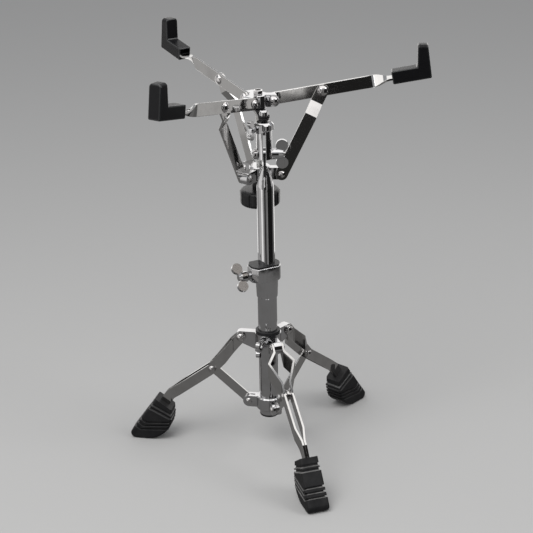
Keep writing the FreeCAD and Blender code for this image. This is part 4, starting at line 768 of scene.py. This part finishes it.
for name, start, end, foot, top, brightness in (
    ("low_far_left", -180, -140, CARD_FOOT, WALL_FOOT, 0.3),
    ("wall_left", -180, -140, WALL_FOOT, CARD_SPLIT, 1.4),
    ("low_left", -140, -95, CARD_FOOT, CARD_SPLIT, 0.42),
    ("low_window", -95, -60, CARD_FOOT, CARD_SPLIT, 0.6),
    ("low_window_edge", -60, -40, CARD_FOOT, CARD_SPLIT, 1.3),
    ("low_front_left", -40, -28, CARD_FOOT, CARD_SPLIT, 0.6),
    ("low_front", -28, -14, CARD_FOOT, CARD_SPLIT, 0.25),
    ("low_gap", -14, 1, CARD_FOOT, GAP_SPLIT, 0.03),
    ("low_front_right", 1, 14, CARD_FOOT, CARD_SPLIT, 0.18),
    ("low_strip", 14, 29, CARD_FOOT, CARD_SPLIT, 0.3),
    ("low_dark", 29, 98, CARD_FOOT, CARD_SPLIT, 0.012),
    ("low_right", 98, 135, CARD_FOOT, CARD_SPLIT, 0.15),
    ("low_far_right", 135, 180, CARD_FOOT, WALL_FOOT, 0.15),
    ("wall_right", 135, 180, WALL_FOOT, CARD_SPLIT, 1.4),
    ("high_window", -99, -47, CARD_SPLIT, CARD_TOP, 1.0),
    ("high_front", -47, -14, CARD_SPLIT, CARD_TOP, 0.3),
    ("high_edge", -14, -2, GAP_SPLIT, CARD_TOP, 0.85),
    ("high_gap", -2, 1, GAP_SPLIT, CARD_TOP, 0.02),
    ("high_front_right", 1, 14, CARD_SPLIT, CARD_TOP, 0.02),
    ("high_strip", 14, 29, CARD_SPLIT, CARD_TOP, 0.35),
    ("high_dark", 29, 96, CARD_SPLIT, CARD_TOP, 0.02),
    ("high_right", 96, 135, CARD_SPLIT, CARD_TOP, 0.6),
    ("high_wall", 135, 220, CARD_SPLIT, CARD_TOP, 1.4),
    ("high_left", 220, 261, CARD_SPLIT, CARD_TOP, 0.55),
):
    upright(name, start, end, foot, top, brightness)
# A dim level sheet just over the floor that only reflections see: a painted dark reflection in place of
# the pale floor.
level("dark_reflection_sheet", half=1.1, height=0.002, brightness=0.2)
level("ceiling_card", half=0.8, height=1.3, brightness=1.7)

WALL_COLOUR = (0.62, 0.63, 0.65, 1)
WALL_STRENGTH = 0.75
world = bpy.data.worlds.new("studio")
world.use_nodes = True
wall_light = world.node_tree.nodes["Background"]
wall_light.inputs["Color"].default_value = WALL_COLOUR
wall_light.inputs["Strength"].default_value = WALL_STRENGTH
bpy.context.scene.world = world

LIGHT_TARGET = Vector((0, 0, 0.3))
for name, stand, energy, width in (
    ("overhead", (-0.8, -1.0, 2.2), 34, 1.6),
    ("side_fill", (1.8, -0.6, 1.5), 12, 1.0),
):
    light_data = bpy.data.lights.new(name, "AREA")
    light_data.energy = energy
    light_data.size = width
    light = bpy.data.objects.new(name, light_data)
    light.location = stand
    light.rotation_euler = (LIGHT_TARGET - light.location).to_track_quat("-Z", "Y").to_euler()
    bpy.context.scene.collection.objects.link(light)

# Camera: a long lens from in front and a little above, level with the photograph's view.
# The photograph's frame is square, so the lens is given in frame widths.
FRAME_PIXELS = 533
FOCAL_PIXELS = 1481.3
SENSOR_WIDTH = 36.0
VIEW_ELEVATION = radians(21.85)
VIEW_ROLL = radians(-1.12)
VIEW_DISTANCE = 1.9322
VIEW_TARGET = Vector((-0.0002, 0.0, 0.2619))
camera_data = bpy.data.cameras.new("photo_camera")
camera_data.sensor_width = SENSOR_WIDTH
camera_data.lens = FOCAL_PIXELS / FRAME_PIXELS * SENSOR_WIDTH
camera = bpy.data.objects.new("photo_camera", camera_data)
bpy.context.scene.collection.objects.link(camera)
view_back = Vector((0.0, -cos(VIEW_ELEVATION), sin(VIEW_ELEVATION)))
camera.location = VIEW_TARGET + VIEW_DISTANCE * view_back
look = (-view_back).to_track_quat("-Z", "Y").to_matrix().to_4x4()
camera.rotation_euler = (look @ Matrix.Rotation(VIEW_ROLL, 4, "Z")).to_euler()
bpy.context.scene.camera = camera
bpy.context.scene.view_settings.view_transform = "Standard"
